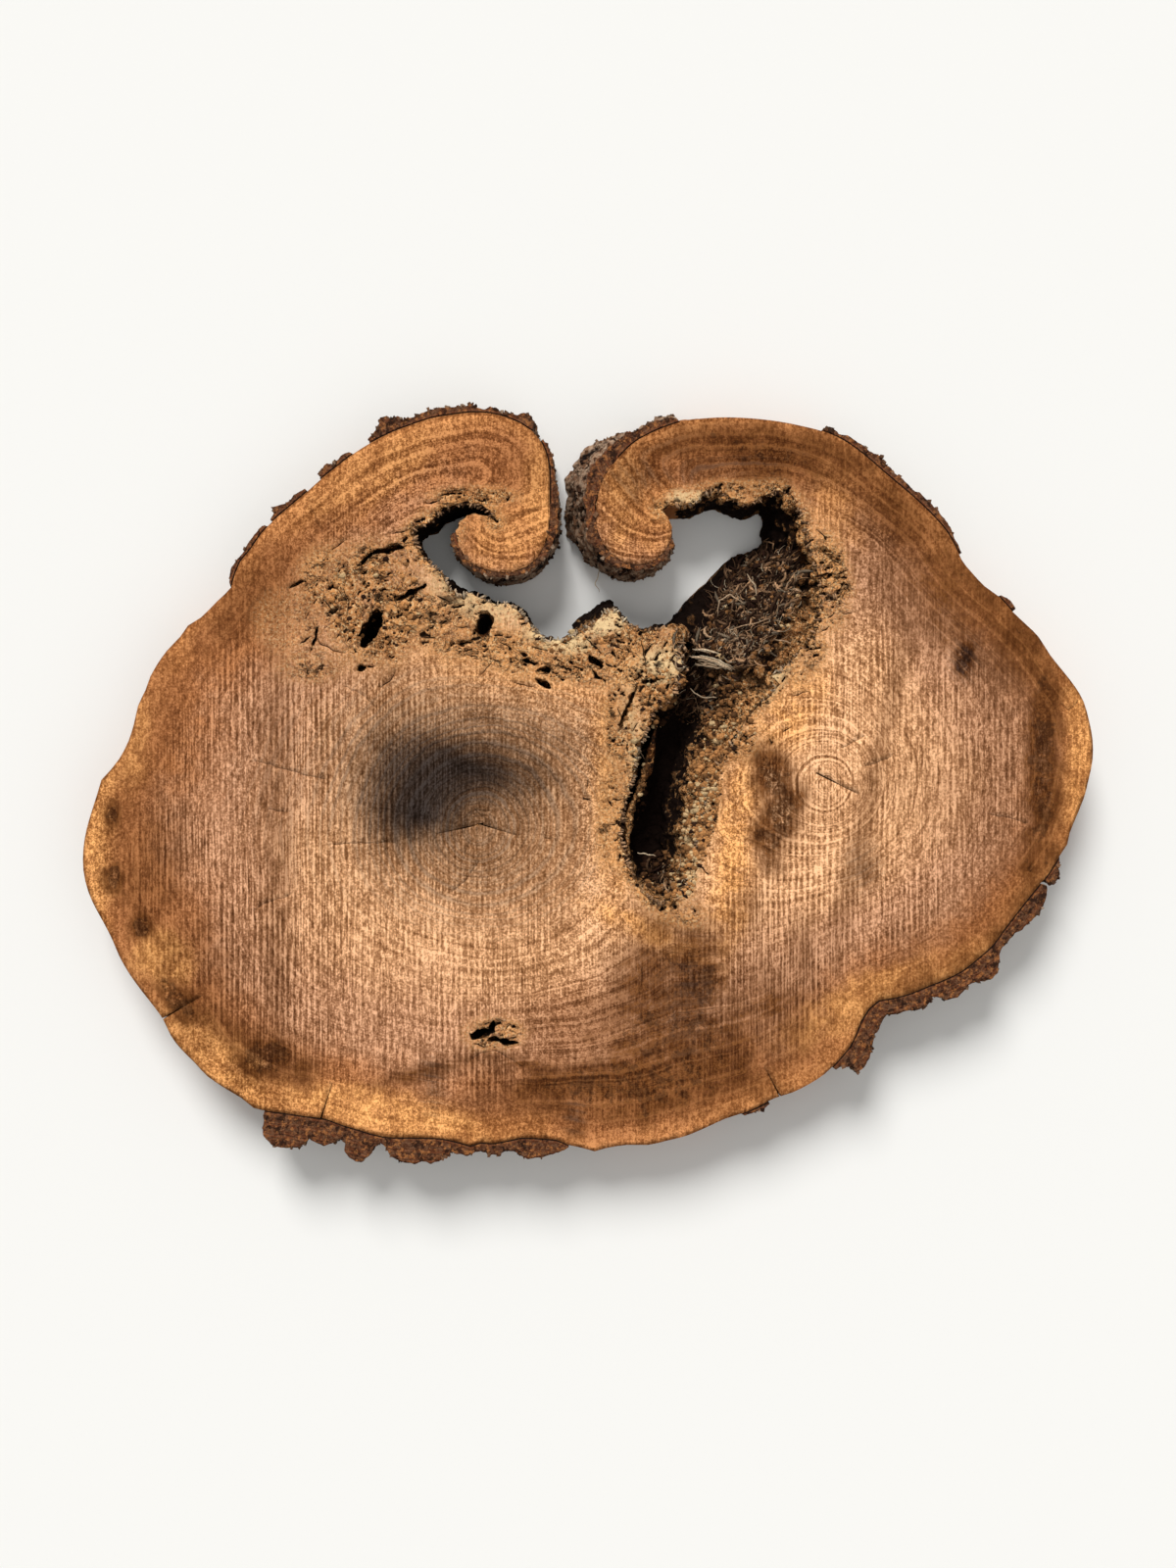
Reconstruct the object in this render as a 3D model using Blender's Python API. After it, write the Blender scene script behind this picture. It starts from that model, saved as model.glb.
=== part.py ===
"""A walnut wood slice, cut across a trunk that grew from two stems and hollowed between them.

The slice lies flat on its sawn back face, with +Z up and the sawn front face on top. The origin is on
the back face, at the middle of the slice's length and width. The wood is one piece: an outer edge where
the bark has mostly come away, two lips of new wood that curl into the cleft at the top, and the decayed
hollow, crevice and pockets behind them. Each patch of bark that is still on the edge is a piece of its own.

Run it with: blender --background --python part.py
"""

import math

import bmesh
import bpy
from mathutils import Matrix, Vector, noise

MM = 0.001

# Driving dimensions, in metres.
THICKNESS = 76 * MM
BARK_GAP = 0.35 * MM
EDGE_STEP = 12.5 * MM
RIM_STEP = 10 * MM
CREVICE_DEPTH = 63 * MM

# Shares of the thickness, back to front, at which the sides have a row of points, and how far the
# hollow's wall has moved from its front rim towards its back rim at each. The wall is rougher where it
# slopes more, by a share of the distance it moves.
LEVELS = (0.0, 0.2, 0.42, 0.64, 0.85, 1.0)
HOLLOW_CREEP = (1.0, 0.93, 0.66, 0.37, 0.1, 0.0)
HOLLOW_ROUGHNESS = 3 * MM
SLOPE_ROUGHNESS = 0.1
EDGE_ROUGHNESS = 1.2 * MM
BARK_ROUGHNESS = 2.2 * MM
TOP_FLARE = 21 * MM

# The edge of the wood on the front face, in millimetres from the middle of the slice, anticlockwise.
LEFT_LIP = [
    (-112, 320), (-120, 328), (-134, 331), (-149, 329), (-158, 320), (-162, 308), (-160, 294),
    (-152, 281), (-142, 270), (-127, 263), (-110, 259), (-92, 260), (-76, 266), (-62, 277),
    (-54, 292), (-49, 308), (-47, 330), (-47, 354), (-47, 378), (-50, 401), (-58, 420), (-68, 432),
]
LEFT_SHOULDER = [
    (-83, 442), (-100, 449), (-120, 454), (-144, 455), (-168, 452), (-192, 448), (-216, 440),
    (-240, 431), (-264, 419), (-288, 404), (-306, 390), (-324, 376), (-344, 358), (-364, 341),
    (-384, 324), (-400, 307), (-413, 288), (-426, 272), (-432, 258), (-437, 241), (-454, 224),
    (-474, 204), (-490, 194), (-499, 181), (-516, 163), (-528, 146), (-536, 132),
]
LEFT_SIDE = [
    (-542, 115), (-551, 96), (-556, 74), (-563, 52), (-574, 31), (-584, 18), (-596, 5), (-601, -12),
    (-608, -34), (-614, -55), (-618, -79), (-618, -106), (-612, -132), (-602, -154), (-592, -172),
    (-582, -192), (-574, -211), (-562, -232), (-547, -253), (-532, -272), (-520, -289), (-511, -308),
    (-499, -324), (-482, -341), (-466, -358), (-444, -373), (-424, -385), (-409, -397),
]
LOWER_EDGE = [
    (-396, -400), (-372, -403), (-346, -407), (-322, -410), (-300, -418), (-276, -425), (-250, -432),
    (-216, -433), (-182, -434), (-161, -438), (-144, -443), (-132, -439), (-116, -440), (-100, -437),
    (-82, -433), (-60, -434), (-38, -436), (-24, -442), (-6, -446), (8, -450), (22, -446), (48, -442),
    (74, -442), (96, -437), (120, -431), (144, -421), (168, -410), (198, -400), (228, -385),
    (250, -378), (270, -368), (290, -355),
]
RIGHT_SIDE = [
    (307, -338), (319, -324), (328, -307), (335, -289), (344, -275), (356, -265), (374, -262),
    (396, -256), (418, -247), (438, -239), (458, -229), (477, -214), (496, -197), (509, -179),
    (526, -157), (540, -139), (554, -122), (566, -107), (577, -89), (587, -74), (590, -60),
    (598, -40), (607, -18), (613, 5), (618, 30), (618, 54), (614, 76), (607, 101), (596, 120),
    (582, 138), (566, 158), (552, 180), (538, 194), (520, 211), (504, 229), (486, 242),
]
RIGHT_SHOULDER = [
    (470, 259), (458, 274), (449, 293), (438, 311), (425, 326), (408, 343), (390, 359), (366, 379),
    (342, 400), (318, 418), (294, 430), (264, 438), (234, 444), (198, 448), (162, 449), (126, 446),
]
RIGHT_LIP = [
    (102, 440), (82, 432), (62, 422), (46, 409), (31, 392), (20, 376), (13, 356), (10, 336),
    (11, 316), (17, 298), (29, 282), (44, 272), (62, 269), (79, 272), (92, 283), (101, 298),
    (103, 314), (98, 328), (90, 336),
]

# The hollow's rim on the front face, from the right lip clockwise round to the left lip, and how far
# each point lies from it on the back face: the right wall slopes in, and the others are steep.
HOLLOW = [
    ((101, 341), (0, -4)), ((114, 343), (0, -5)), ((130, 344), (0, -6)), ((139, 352), (0, -8)),
    ((149, 360), (0, -12)), ((161, 361), (2, -12)), ((169, 352), (0, -6)), ((182, 350), (0, -8)),
    ((194, 344), (0, -8)), ((208, 349), (-2, -10)), ((220, 355), (-6, -10)), ((230, 360), (-12, -16)),
    ((241, 358), (-21, -18)), ((252, 348), (-30, -15)), ((262, 334), (-41, -9)), ((266, 317), (-47, -1)),
    ((268, 298), (-46, 8)), ((275, 278), (-63, 20)), ((283, 259), (-82, 35)), ((288, 240), (-98, 51)),
    ((286, 218), (-105, 69)), ((280, 197), (-107, 84)), ((270, 175), (-104, 99)), ((256, 156), (-98, 109)),
    ((238, 139), (-89, 117)), ((216, 130), (-76, 118)), ((192, 127), (-60, 113)), ((168, 132), (-44, 100)),
    ((146, 144), (-29, 79)), ((130, 161), (-20, 52)), ((118, 178), (-17, 27)), ((106, 190), (-16, 9)),
    ((86, 190), (-10, 6)), ((66, 188), (-4, 6)), ((52, 193), (-2, 10)), ((41, 204), (-1, 11)),
    ((29, 214), (-2, 15)), ((17, 205), (-9, 19)), ((4, 194), (-10, 16)), ((-12, 185), (-4, 14)),
    ((-29, 176), (0, 8)), ((-46, 174), (0, 8)), ((-61, 182), (2, 6)), ((-74, 197), (4, 4)),
    ((-84, 211), (4, 6)), ((-97, 220), (2, 8)), ((-114, 220), (2, 8)), ((-130, 227), (2, 8)),
    ((-144, 233), (4, 10)), ((-158, 230), (8, 14)), ((-169, 238), (10, 10)), ((-175, 250), (8, 4)),
    ((-185, 260), (2, 0)), ((-196, 271), (0, 0)), ((-205, 286), (0, 0)), ((-214, 301), (3, 0)),
    ((-215, 313), (4, -3)), ((-204, 319), (2, -3)), ((-191, 323), (0, -3)), ((-181, 334), (0, -3)),
    ((-168, 342), (0, -4)), ((-151, 344), (0, -3)), ((-134, 343), (0, -2)), ((-120, 335), (0, 0)),
]

# The crevice that runs down from the hollow between the two stems: its rim on the front face, and the
# narrow core that each point of the rim leans in to at the bottom.
CREVICE = [
    ((108, 186), (116, 176)), ((114, 174), (117, 168)), ((110, 166), (117, 158)), ((116, 155), (117, 147)),
    ((113, 139), (115, 134)), ((109, 124), (112, 120)), ((103, 109), (107, 106)), ((91, 98), (100, 94)),
    ((79, 91), (88, 86)), ((73, 76), (80, 73)), ((70, 60), (76, 58)), ((61, 44), (69, 43)),
    ((57, 22), (64, 23)), ((52, 0), (58, 3)), ((44, -20), (51, -17)), ((40, -42), (47, -40)),
    ((39, -62), (47, -60)), ((42, -80), (50, -76)), ((47, -98), (58, -91)), ((55, -116), (66, -104)),
    ((66, -133), (76, -114)), ((80, -145), (84, -120)), ((98, -151), (92, -120)), ((113, -142), (97, -114)),
    ((122, -126), (98, -104)), ((130, -107), (96, -90)), ((136, -86), (92, -74)), ((139, -66), (90, -58)),
    ((142, -46), (90, -42)), ((146, -24), (92, -26)), ((146, -2), (96, -8)), ((155, 14), (101, 10)),
    ((166, 30), (106, 26)), ((178, 46), (112, 42)), ((188, 62), (118, 58)), ((199, 78), (124, 72)),
    ((212, 94), (130, 88)), ((226, 108), (136, 104)), ((236, 122), (142, 120)), ((216, 144), (144, 140)),
    ((168, 158), (138, 160)), ((134, 174), (128, 174)),
]
# The rib of harder wood that stands in the crevice near its left wall: its middle line and width.
RIB = [
    (85, 79, 4), (82, 62, 5), (79, 43, 7), (75, 24, 9), (66, 0, 8), (55, -24, 6), (50, -48, 6),
    (48, -67, 5), (50, -89, 4),
]
RIB_DEPTH = 10 * MM
CREVICE_FALL = ((-5 * MM, 0.0), (8 * MM, 0.12), (24 * MM, 0.45), (44 * MM, 0.85), (CREVICE_DEPTH, 1.0))

# Pockets that decay has opened in the front face: middle, length, width, angle and depth, in
# millimetres and degrees.
POCKETS = [
    ((-266, 191), 54, 24, 62, 46), ((-272, 276), 24, 10, 50, 22), ((-246, 287), 44, 10, 14, 24),
    ((-218, 234), 48, 9, 26, 22), ((-127, 196), 36, 20, 70, 34), ((-156, 172), 32, 7, 10, 12),
    ((-72, 150), 26, 8, -20, 14), ((-54, 139), 20, 8, -5, 12), ((-56, 124), 26, 8, -34, 12),
    ((10, 150), 26, 9, -40, 16), ((9, 134), 20, 7, -45, 10), ((48, 93), 58, 8, 66, 20),
    ((78, 127), 24, 8, 14, 14), ((295, 282), 34, 10, -32, 20), ((298, 255), 22, 7, 8, 12),
    ((302, 232), 36, 8, 28, 16), ((138, 18), 30, 15, 0, 26), ((117, -126), 18, 14, 0, 18),
    ((-278, 142), 14, 10, 20, 12), ((-334, 182), 24, 6, 80, 12), ((-356, 245), 24, 5, 25, 10),
]
KNOT_HOLE = [
    ((-133, -306), 30, 15, 12, 26), ((-117, -299), 18, 10, 62, 22), ((-104, -315), 42, 10, -10, 24),
]

# Drying checks that open the edge and the hearts of the two stems: ends, width and depth in
# millimetres. Each is a wedge, widest at its first end.
CHECKS = [
    ((-522, -288), (-470, -258), 2.6, 26), ((-328, -412), (-312, -364), 2.4, 20),
    ((236, -384), (214, -342), 2.4, 20), ((283, 12), (334, -14), 2.2, 16),
    ((-132, -49), (-188, -62), 2.2, 14), ((-132, -49), (-84, -64), 2.0, 12),
]

# Each bark patch: the point of the wood's edge where it starts and the one where it ends, going
# anticlockwise, then its outer edge on the front face from the end back to the start, in millimetres.
BARK = {
    "bark_lower_left": ((-396, -400), (-24, -442), [
        (-24, -445), (-36, -451), (-53, -456), (-68, -460), (-79, -458), (-86, -451), (-96, -448),
        (-104, -451), (-110, -455), (-121, -454), (-128, -449), (-136, -448), (-142, -454), (-151, -456),
        (-160, -452), (-166, -450), (-173, -455), (-181, -460), (-191, -465), (-203, -462), (-215, -465),
        (-229, -462), (-240, -458), (-246, -448), (-252, -440), (-258, -440), (-264, -446), (-268, -455),
        (-276, -462), (-284, -464), (-293, -460), (-298, -449), (-299, -436), (-303, -433), (-310, -438),
        (-318, -443), (-329, -443), (-337, -438), (-342, -433), (-347, -440), (-354, -445), (-371, -445),
        (-385, -444), (-394, -438), (-398, -427), (-398, -415), (-397, -405),
    ]),
    "bark_lower_right": ((299, -347), (554, -122), [
        (562, -126), (564, -133), (559, -146), (551, -158), (541, -168), (532, -178), (521, -186),
        (512, -194), (505, -206), (503, -221), (502, -233), (492, -240), (480, -241), (468, -244),
        (461, -252), (455, -260), (446, -264), (433, -263), (424, -260), (419, -264), (415, -271),
        (406, -276), (391, -278), (382, -281), (371, -281), (362, -284), (359, -293), (356, -301),
        (350, -307), (348, -314), (349, -322), (344, -330), (343, -340), (337, -348), (331, -353),
        (325, -349), (320, -343), (312, -347), (304, -350),
    ]),
    "bark_right_flake": ((560, -114), (574, -93), [(577, -102), (576, -117), (568, -123), (563, -121)]),
    "bark_bottom_flake": ((188, -403), (222, -388), [(223, -392), (216, -398), (204, -402), (192, -406)]),
    "bark_right_bit": ((520, 211), (504, 229), [(506, 232), (512, 229), (518, 223), (523, 215)]),
    "bark_top_right": ((455, 279), (288, 432), [
        (289, 436), (296, 438), (304, 435), (307, 429), (319, 426), (329, 420), (336, 414), (346, 408),
        (354, 405), (360, 397), (368, 390), (374, 382), (386, 372), (397, 363), (408, 355), (418, 345),
        (427, 336), (435, 326), (443, 317), (446, 306), (452, 296), (458, 283),
    ]),
    "bark_top_left": ((-70, 433), (-264, 419), [
        (-269, 422), (-262, 431), (-254, 436), (-258, 444), (-253, 451), (-245, 451), (-240, 445),
        (-233, 451), (-226, 446), (-217, 448), (-208, 451), (-200, 455), (-196, 460), (-186, 458),
        (-176, 462), (-167, 461), (-158, 463), (-150, 462), (-142, 465), (-134, 460), (-125, 459),
        (-119, 463), (-113, 459), (-102, 455), (-91, 452), (-83, 452), (-77, 455), (-71, 451), (-66, 443),
    ]),
    "bark_left_flake_upper": ((-290, 402), (-324, 376), [
        (-329, 378), (-325, 389), (-318, 394), (-312, 390), (-306, 398), (-300, 404), (-293, 407),
    ]),
    "bark_left_flake_lower": ((-344, 358), (-386, 322), [
        (-389, 324), (-386, 331), (-387, 338), (-379, 342), (-371, 344), (-365, 346), (-362, 352),
        (-354, 358), (-347, 362),
    ]),
    "bark_left_sliver": ((-394, 314), (-436, 246), [
        (-440, 247), (-440, 255), (-437, 265), (-430, 274), (-422, 285), (-416, 294), (-412, 300),
        (-405, 309), (-399, 316),
    ]),
    "bark_left_lip": ((-162, 308), (-58, 420), [
        (-55, 423), (-47, 411), (-43, 396), (-42, 382), (-40, 370), (-37, 358), (-36, 346), (-37, 331),
        (-36, 319), (-38, 306), (-42, 296), (-48, 286), (-55, 275), (-65, 266), (-76, 259), (-90, 254),
        (-107, 253), (-125, 256), (-140, 262), (-152, 271), (-161, 281), (-167, 294), (-168, 306),
    ]),
}

# The thick bark that rolls into the cleft with the right lip. Its plates stand out further behind the
# front face, so it has an outer edge on each face.
CLEFT_BARK_START = (108, 441)
CLEFT_BARK_END = (101, 298)
CLEFT_BARK_FRONT = [
    (104, 293), (98, 280), (88, 270), (74, 264), (58, 261), (40, 264), (24, 271), (12, 281), (4, 293),
    (0, 306), (-2, 320), (-4, 336), (-4, 352), (-2, 366), (0, 379), (6, 390), (14, 400), (24, 409),
    (34, 418), (44, 426), (55, 433), (66, 438), (80, 443), (94, 446), (107, 447),
]
CLEFT_BARK_BACK = [
    (104, 293), (98, 280), (88, 270), (74, 263), (58, 259), (38, 262), (22, 269), (8, 278), (-4, 288),
    (-13, 299), (-20, 308), (-25, 319), (-27, 334), (-28, 348), (-25, 360), (-23, 371), (-28, 378),
    (-29, 386), (-24, 395), (-17, 400), (-17, 409), (-11, 419), (-3, 427), (6, 432), (15, 436),
    (26, 439), (35, 444), (43, 443), (52, 445), (64, 452), (80, 460), (96, 465), (107, 468),
]

WOOD_COLOUR = (0.44, 0.25, 0.13, 1.0)
BARK_COLOUR = (0.16, 0.085, 0.05, 1.0)


def clear_scene():
    for obj in list(bpy.data.objects):
        bpy.data.objects.remove(obj)


def new_collection(name, hidden=False):
    group = bpy.data.collections.new(name)
    bpy.context.scene.collection.children.link(group)
    group.hide_render = hidden
    return group


def new_material(name, colour, roughness):
    material = bpy.data.materials.new(name)
    material.use_nodes = True
    shader = material.node_tree.nodes["Principled BSDF"]
    shader.inputs["Base Color"].default_value = colour
    shader.inputs["Roughness"].default_value = roughness
    shader.inputs["Metallic"].default_value = 0.0
    material.diffuse_color = colour
    return material


def curve_through(points, step, closed):
    """Points about a step apart on a smooth curve through these, in metres. Each point is a tuple of
    millimetres, of any length: the first two numbers are its place, and the rest ride along with it."""
    knots = [Vector(p).resized(len(p)) * MM for p in points]
    count = len(knots)
    found = []
    for i in range(count if closed else count - 1):
        before = knots[(i - 1) % count] if closed else knots[max(i - 1, 0)]
        start, end = knots[i], knots[(i + 1) % count]
        after = knots[(i + 2) % count] if closed else knots[min(i + 2, count - 1)]
        pieces = max(1, round((end - start).resized(2).length / step))
        for k in range(pieces):
            t = k / pieces
            found.append(
                0.5 * (2 * start + (end - before) * t
                       + (2 * before - 5 * start + 4 * end - after) * t ** 2
                       + (3 * start - before - 3 * end + after) * t ** 3)
            )
    if not closed:
        found.append(knots[-1])
    return found


def spread_evenly(points, count):
    """This many points at equal distances along a chain of straight runs."""
    runs = [(b - a).length for a, b in zip(points, points[1:])]
    spacing = sum(runs) / (count - 1)
    found = []
    passed = 0.0
    run = 0
    for k in range(count):
        along = k * spacing
        while run < len(runs) - 1 and passed + runs[run] < along:
            passed += runs[run]
            run += 1
        share = min(1.0, (along - passed) / runs[run])
        found.append(points[run].lerp(points[run + 1], share))
    return found


def outward_normals(loop):
    """The outward unit normal at each point of an anticlockwise loop."""
    found = []
    for i, point in enumerate(loop):
        along = loop[(i + 1) % len(loop)] - loop[i - 1]
        found.append(Vector((along.y, -along.x)).normalized())
    return found


def roughness_at(point, height, grain, seed):
    """A smooth random number from -1 to 1, the same at each run."""
    place = Vector((point.x / grain, point.y / grain, height / grain + seed))
    return max(-1.0, min(1.0, 1.6 * noise.noise(place)))


def solid_between(name, sections, collection, material=None):
    """One closed solid through outlines that all have the same number of points, lowest first."""
    first = sections[0]
    turn = sum(a.x * b.y - b.x * a.y for a, b in zip(first, first[1:] + first[:1]))
    if turn < 0:
        sections = [list(reversed(section)) for section in sections]
    mesh = bpy.data.meshes.new(name)
    body = bmesh.new()
    rows = [[body.verts.new(p) for p in section] for section in sections]
    for lower, upper in zip(rows, rows[1:]):
        for i in range(len(lower)):
            j = (i + 1) % len(lower)
            body.faces.new((lower[i], lower[j], upper[j], upper[i]))
    body.faces.new(rows[-1])
    body.faces.new(list(reversed(rows[0])))
    body.normal_update()
    bmesh.ops.triangulate(body, faces=body.faces[:])
    body.to_mesh(mesh)
    body.free()
    if material:
        mesh.materials.append(material)
    obj = bpy.data.objects.new(name, mesh)
    collection.objects.link(obj)
    return obj


class WoodEdge:
    """The slice's whole outline, wood edge and hollow, as one loop of points at each level."""

    def __init__(self):
        cambium = (LEFT_LIP + LEFT_SHOULDER + LEFT_SIDE + LOWER_EDGE + RIGHT_SIDE
                   + RIGHT_SHOULDER + RIGHT_LIP)
        hollow = [(*front, *shift) for front, shift in HOLLOW]
        edge = curve_through(cambium, EDGE_STEP, closed=False)
        rim = curve_through([(*cambium[-1], 0, 0), *hollow, (*cambium[0], 0, 0)], RIM_STEP, closed=False)
        self.edge_count = len(edge)
        self.front = edge + [p.resized(2) for p in rim[1:-1]]
        self.shift = [Vector((0, 0))] * len(edge) + [Vector(p[2:]) for p in rim[1:-1]]
        self.normals = outward_normals(self.front)

    def flare(self, index):
        """How far the back face stands out past the front: only along the top of the right lip."""
        x, y = self.front[index]
        if index >= self.edge_count or y < 0.36:
            return 0.0
        facing_up = max(0.0, self.normals[index].y)
        return TOP_FLARE * facing_up ** 2 * math.exp(-(((x - 0.1) / 0.085) ** 2))

    def at(self, index, level):
        """A point of the loop at one level, in metres."""
        share = LEVELS[level]
        point = self.front[index] + self.shift[index] * HOLLOW_CREEP[level]
        if 0 < share < 1:
            on_edge = index < self.edge_count
            size = EDGE_ROUGHNESS if on_edge else HOLLOW_ROUGHNESS
            size += SLOPE_ROUGHNESS * self.shift[index].length
            point = point + self.normals[index] * size * roughness_at(point, share, 0.03, 4.0)
        point = point + self.normals[index] * self.flare(index) * (1 - share)
        return Vector((point.x, point.y, share * THICKNESS))

    def nearest(self, place):
        """The index of the outer edge's point that is nearest to a place in millimetres."""
        target = Vector(place) * MM
        return min(range(self.edge_count), key=lambda i: (self.front[i] - target).length)


def make_wood(edge, collection, material):
    sections = [
        [edge.at(i, level) for i in range(len(edge.front))] for level in range(len(LEVELS))
    ]
    return solid_between("wood", sections, collection, material)


def make_crevice_cutter(collection):
    rim = curve_through([(*front, *core) for front, core in CREVICE], RIM_STEP, closed=True)
    sections = []
    for depth, lean in reversed(CREVICE_FALL):
        section = []
        for point in rim:
            place = Vector(point[:2]).lerp(Vector(point[2:]), lean)
            rough = HOLLOW_ROUGHNESS * lean * (1 - lean) * 3
            place.x += rough * roughness_at(place, depth, 0.02, 9.0)
            place.y += rough * roughness_at(place, depth, 0.02, 17.0)
            section.append(Vector((place.x, place.y, THICKNESS - depth)))
        sections.append(section)
    return solid_between("cut_crevice", sections, collection)


def leave_rib(cutter, collection):
    """Keeps the rib out of the crevice's cutter, so that the wood has it."""
    spine = curve_through(RIB, RIM_STEP, closed=False)
    sides = []
    for side in (-1, 1):
        line = []
        for i, point in enumerate(spine):
            along = (spine[min(i + 1, len(spine) - 1)] - spine[max(i - 1, 0)]).resized(2).normalized()
            across = Vector((along.y, -along.x)) * side * point[2] / 2
            line.append(point.resized(2) + across)
        sides.append(line)
    ring = sides[1] + list(reversed(sides[0]))
    middle = sum(ring, Vector((0, 0))) / len(ring)
    low, high = THICKNESS - CREVICE_DEPTH - 4 * MM, THICKNESS - RIB_DEPTH
    wide = [Vector((p.x, p.y, low)) for p in ring]
    narrow = [Vector((*p.lerp(middle, 0.01), high)) for p in ring]
    rib = solid_between("keep_rib", [wide, narrow], collection)
    rib.display_type = "WIRE"
    rib.hide_render = True
    keep = cutter.modifiers.new("Rib", "BOOLEAN")
    keep.operation = "DIFFERENCE"
    keep.object = rib
    keep.solver = "EXACT"


def make_pocket_cutter(name, middle, length, width, angle, depth, collection):
    """A lens-shaped pit whose widest section is the front face."""
    mesh = bpy.data.meshes.new(name)
    body = bmesh.new()
    bmesh.ops.create_uvsphere(body, u_segments=10, v_segments=6, radius=1.0)
    size = Matrix.Diagonal((length / 2 * MM, width / 2 * MM, depth * MM, 1.0))
    turn = Matrix.Rotation(math.radians(angle), 4, "Z")
    place = Matrix.Translation((middle[0] * MM, middle[1] * MM, THICKNESS + 0.4 * MM))
    bmesh.ops.transform(body, matrix=place @ turn @ size, verts=body.verts[:])
    body.to_mesh(mesh)
    body.free()
    obj = bpy.data.objects.new(name, mesh)
    collection.objects.link(obj)


def make_check_cutter(name, start, end, width, depth, collection):
    """A thin wedge whose sharp edge is at the bottom and whose width runs out at its end."""
    first, last = Vector(start) * MM, Vector(end) * MM
    along = (last - first).normalized()
    across = Vector((-along.y, along.x)) * width / 2 * MM
    first = first - along * 4 * MM
    top = THICKNESS + 1 * MM
    low = THICKNESS - depth * MM
    upper = [(first - across, top), (last, top), (first + across, top)]
    lower = [(first - across * 0.2, low), (first.lerp(last, 0.7), low), (first + across * 0.2, low)]
    sections = [[Vector((p.x, p.y, z)) for p, z in ring] for ring in (lower, upper)]
    solid_between(name, sections, collection)


def cut_wood(wood, cutters):
    """Takes every cutter out of the wood."""
    for cutter in cutters.objects:
        cutter.display_type = "WIRE"
        cutter.hide_render = True
    cut = wood.modifiers.new("Decay and checks", "BOOLEAN")
    cut.operation = "DIFFERENCE"
    cut.operand_type = "COLLECTION"
    cut.collection = cutters
    cut.solver = "EXACT"


def make_bark(name, edge, start, end, fronts, collection, material, backs=None):
    """A bark patch between two points of the wood's edge. It follows the wood a hair's breadth off, and
    its outer surface has furrows along the grain. It runs from the front outline to the back one where
    one is given, and otherwise leans out with the wood."""
    first, last = edge.nearest(start), edge.nearest(end)
    inner = range(first, last + 1)
    count = max(len(fronts), len(backs or []))
    front = spread_evenly([Vector(p) * MM for p in fronts], count)
    back = spread_evenly([Vector(p) * MM for p in backs or fronts], count)
    seed = float(len(name))
    sections = []
    for level, share in enumerate(LEVELS):
        ring = []
        for i in inner:
            normal = edge.normals[i]
            ring.append(edge.at(i, level) + Vector((normal.x, normal.y, 0)) * BARK_GAP)
        for k in range(count):
            point = back[k].lerp(front[k], share)
            nearest = min(inner, key=lambda i: (edge.front[i] - point).length)
            normal = edge.normals[nearest]
            push = 0.0 if backs else edge.flare(nearest) * (1 - share)
            if 0 < k < count - 1 and 0 < share < 1:
                off = max(0.0, (point - edge.front[nearest]).dot(normal))
                push += min(BARK_ROUGHNESS, 0.3 * off) * roughness_at(point, share * 2, 0.02, seed)
            point = point + normal * push
            ring.append(Vector((point.x, point.y, share * THICKNESS)))
        sections.append(ring)
    return solid_between(name, sections, collection, material)


def main():
    clear_scene()
    slice_parts = new_collection("walnut_slice")
    cutters = new_collection("cutters", hidden=True)
    wood_material = new_material("walnut_wood", WOOD_COLOUR, 0.7)
    bark_material = new_material("walnut_bark", BARK_COLOUR, 0.9)

    edge = WoodEdge()
    wood = make_wood(edge, slice_parts, wood_material)
    leave_rib(make_crevice_cutter(cutters), new_collection("kept", hidden=True))
    for i, (middle, length, width, angle, depth) in enumerate(POCKETS + KNOT_HOLE):
        make_pocket_cutter(f"cut_pocket_{i}", middle, length, width, angle, depth, cutters)
    for i, (start, end, width, depth) in enumerate(CHECKS):
        make_check_cutter(f"cut_check_{i}", start, end, width, depth, cutters)
    cut_wood(wood, cutters)

    for name, (start, end, outline) in BARK.items():
        make_bark(name, edge, start, end, outline, slice_parts, bark_material)
    make_bark("bark_right_lip", edge, CLEFT_BARK_START, CLEFT_BARK_END, CLEFT_BARK_FRONT,
              slice_parts, bark_material, backs=CLEFT_BARK_BACK)


main()
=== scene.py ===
"""Dresses the walnut slice: sawn wood with rings, stains and decay, its bark, and the loose fibres in
the hollow, on a pale floor under soft light. Laid out as an add-on and run as a script."""

import math
import random

import bmesh
import bpy
import numpy as np
from bpy.props import FloatProperty, FloatVectorProperty, IntProperty, PointerProperty
from bpy.types import Operator, Panel, PropertyGroup
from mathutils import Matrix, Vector, geometry, noise
from mathutils.bvhtree import BVHTree
from mathutils.kdtree import KDTree


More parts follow.
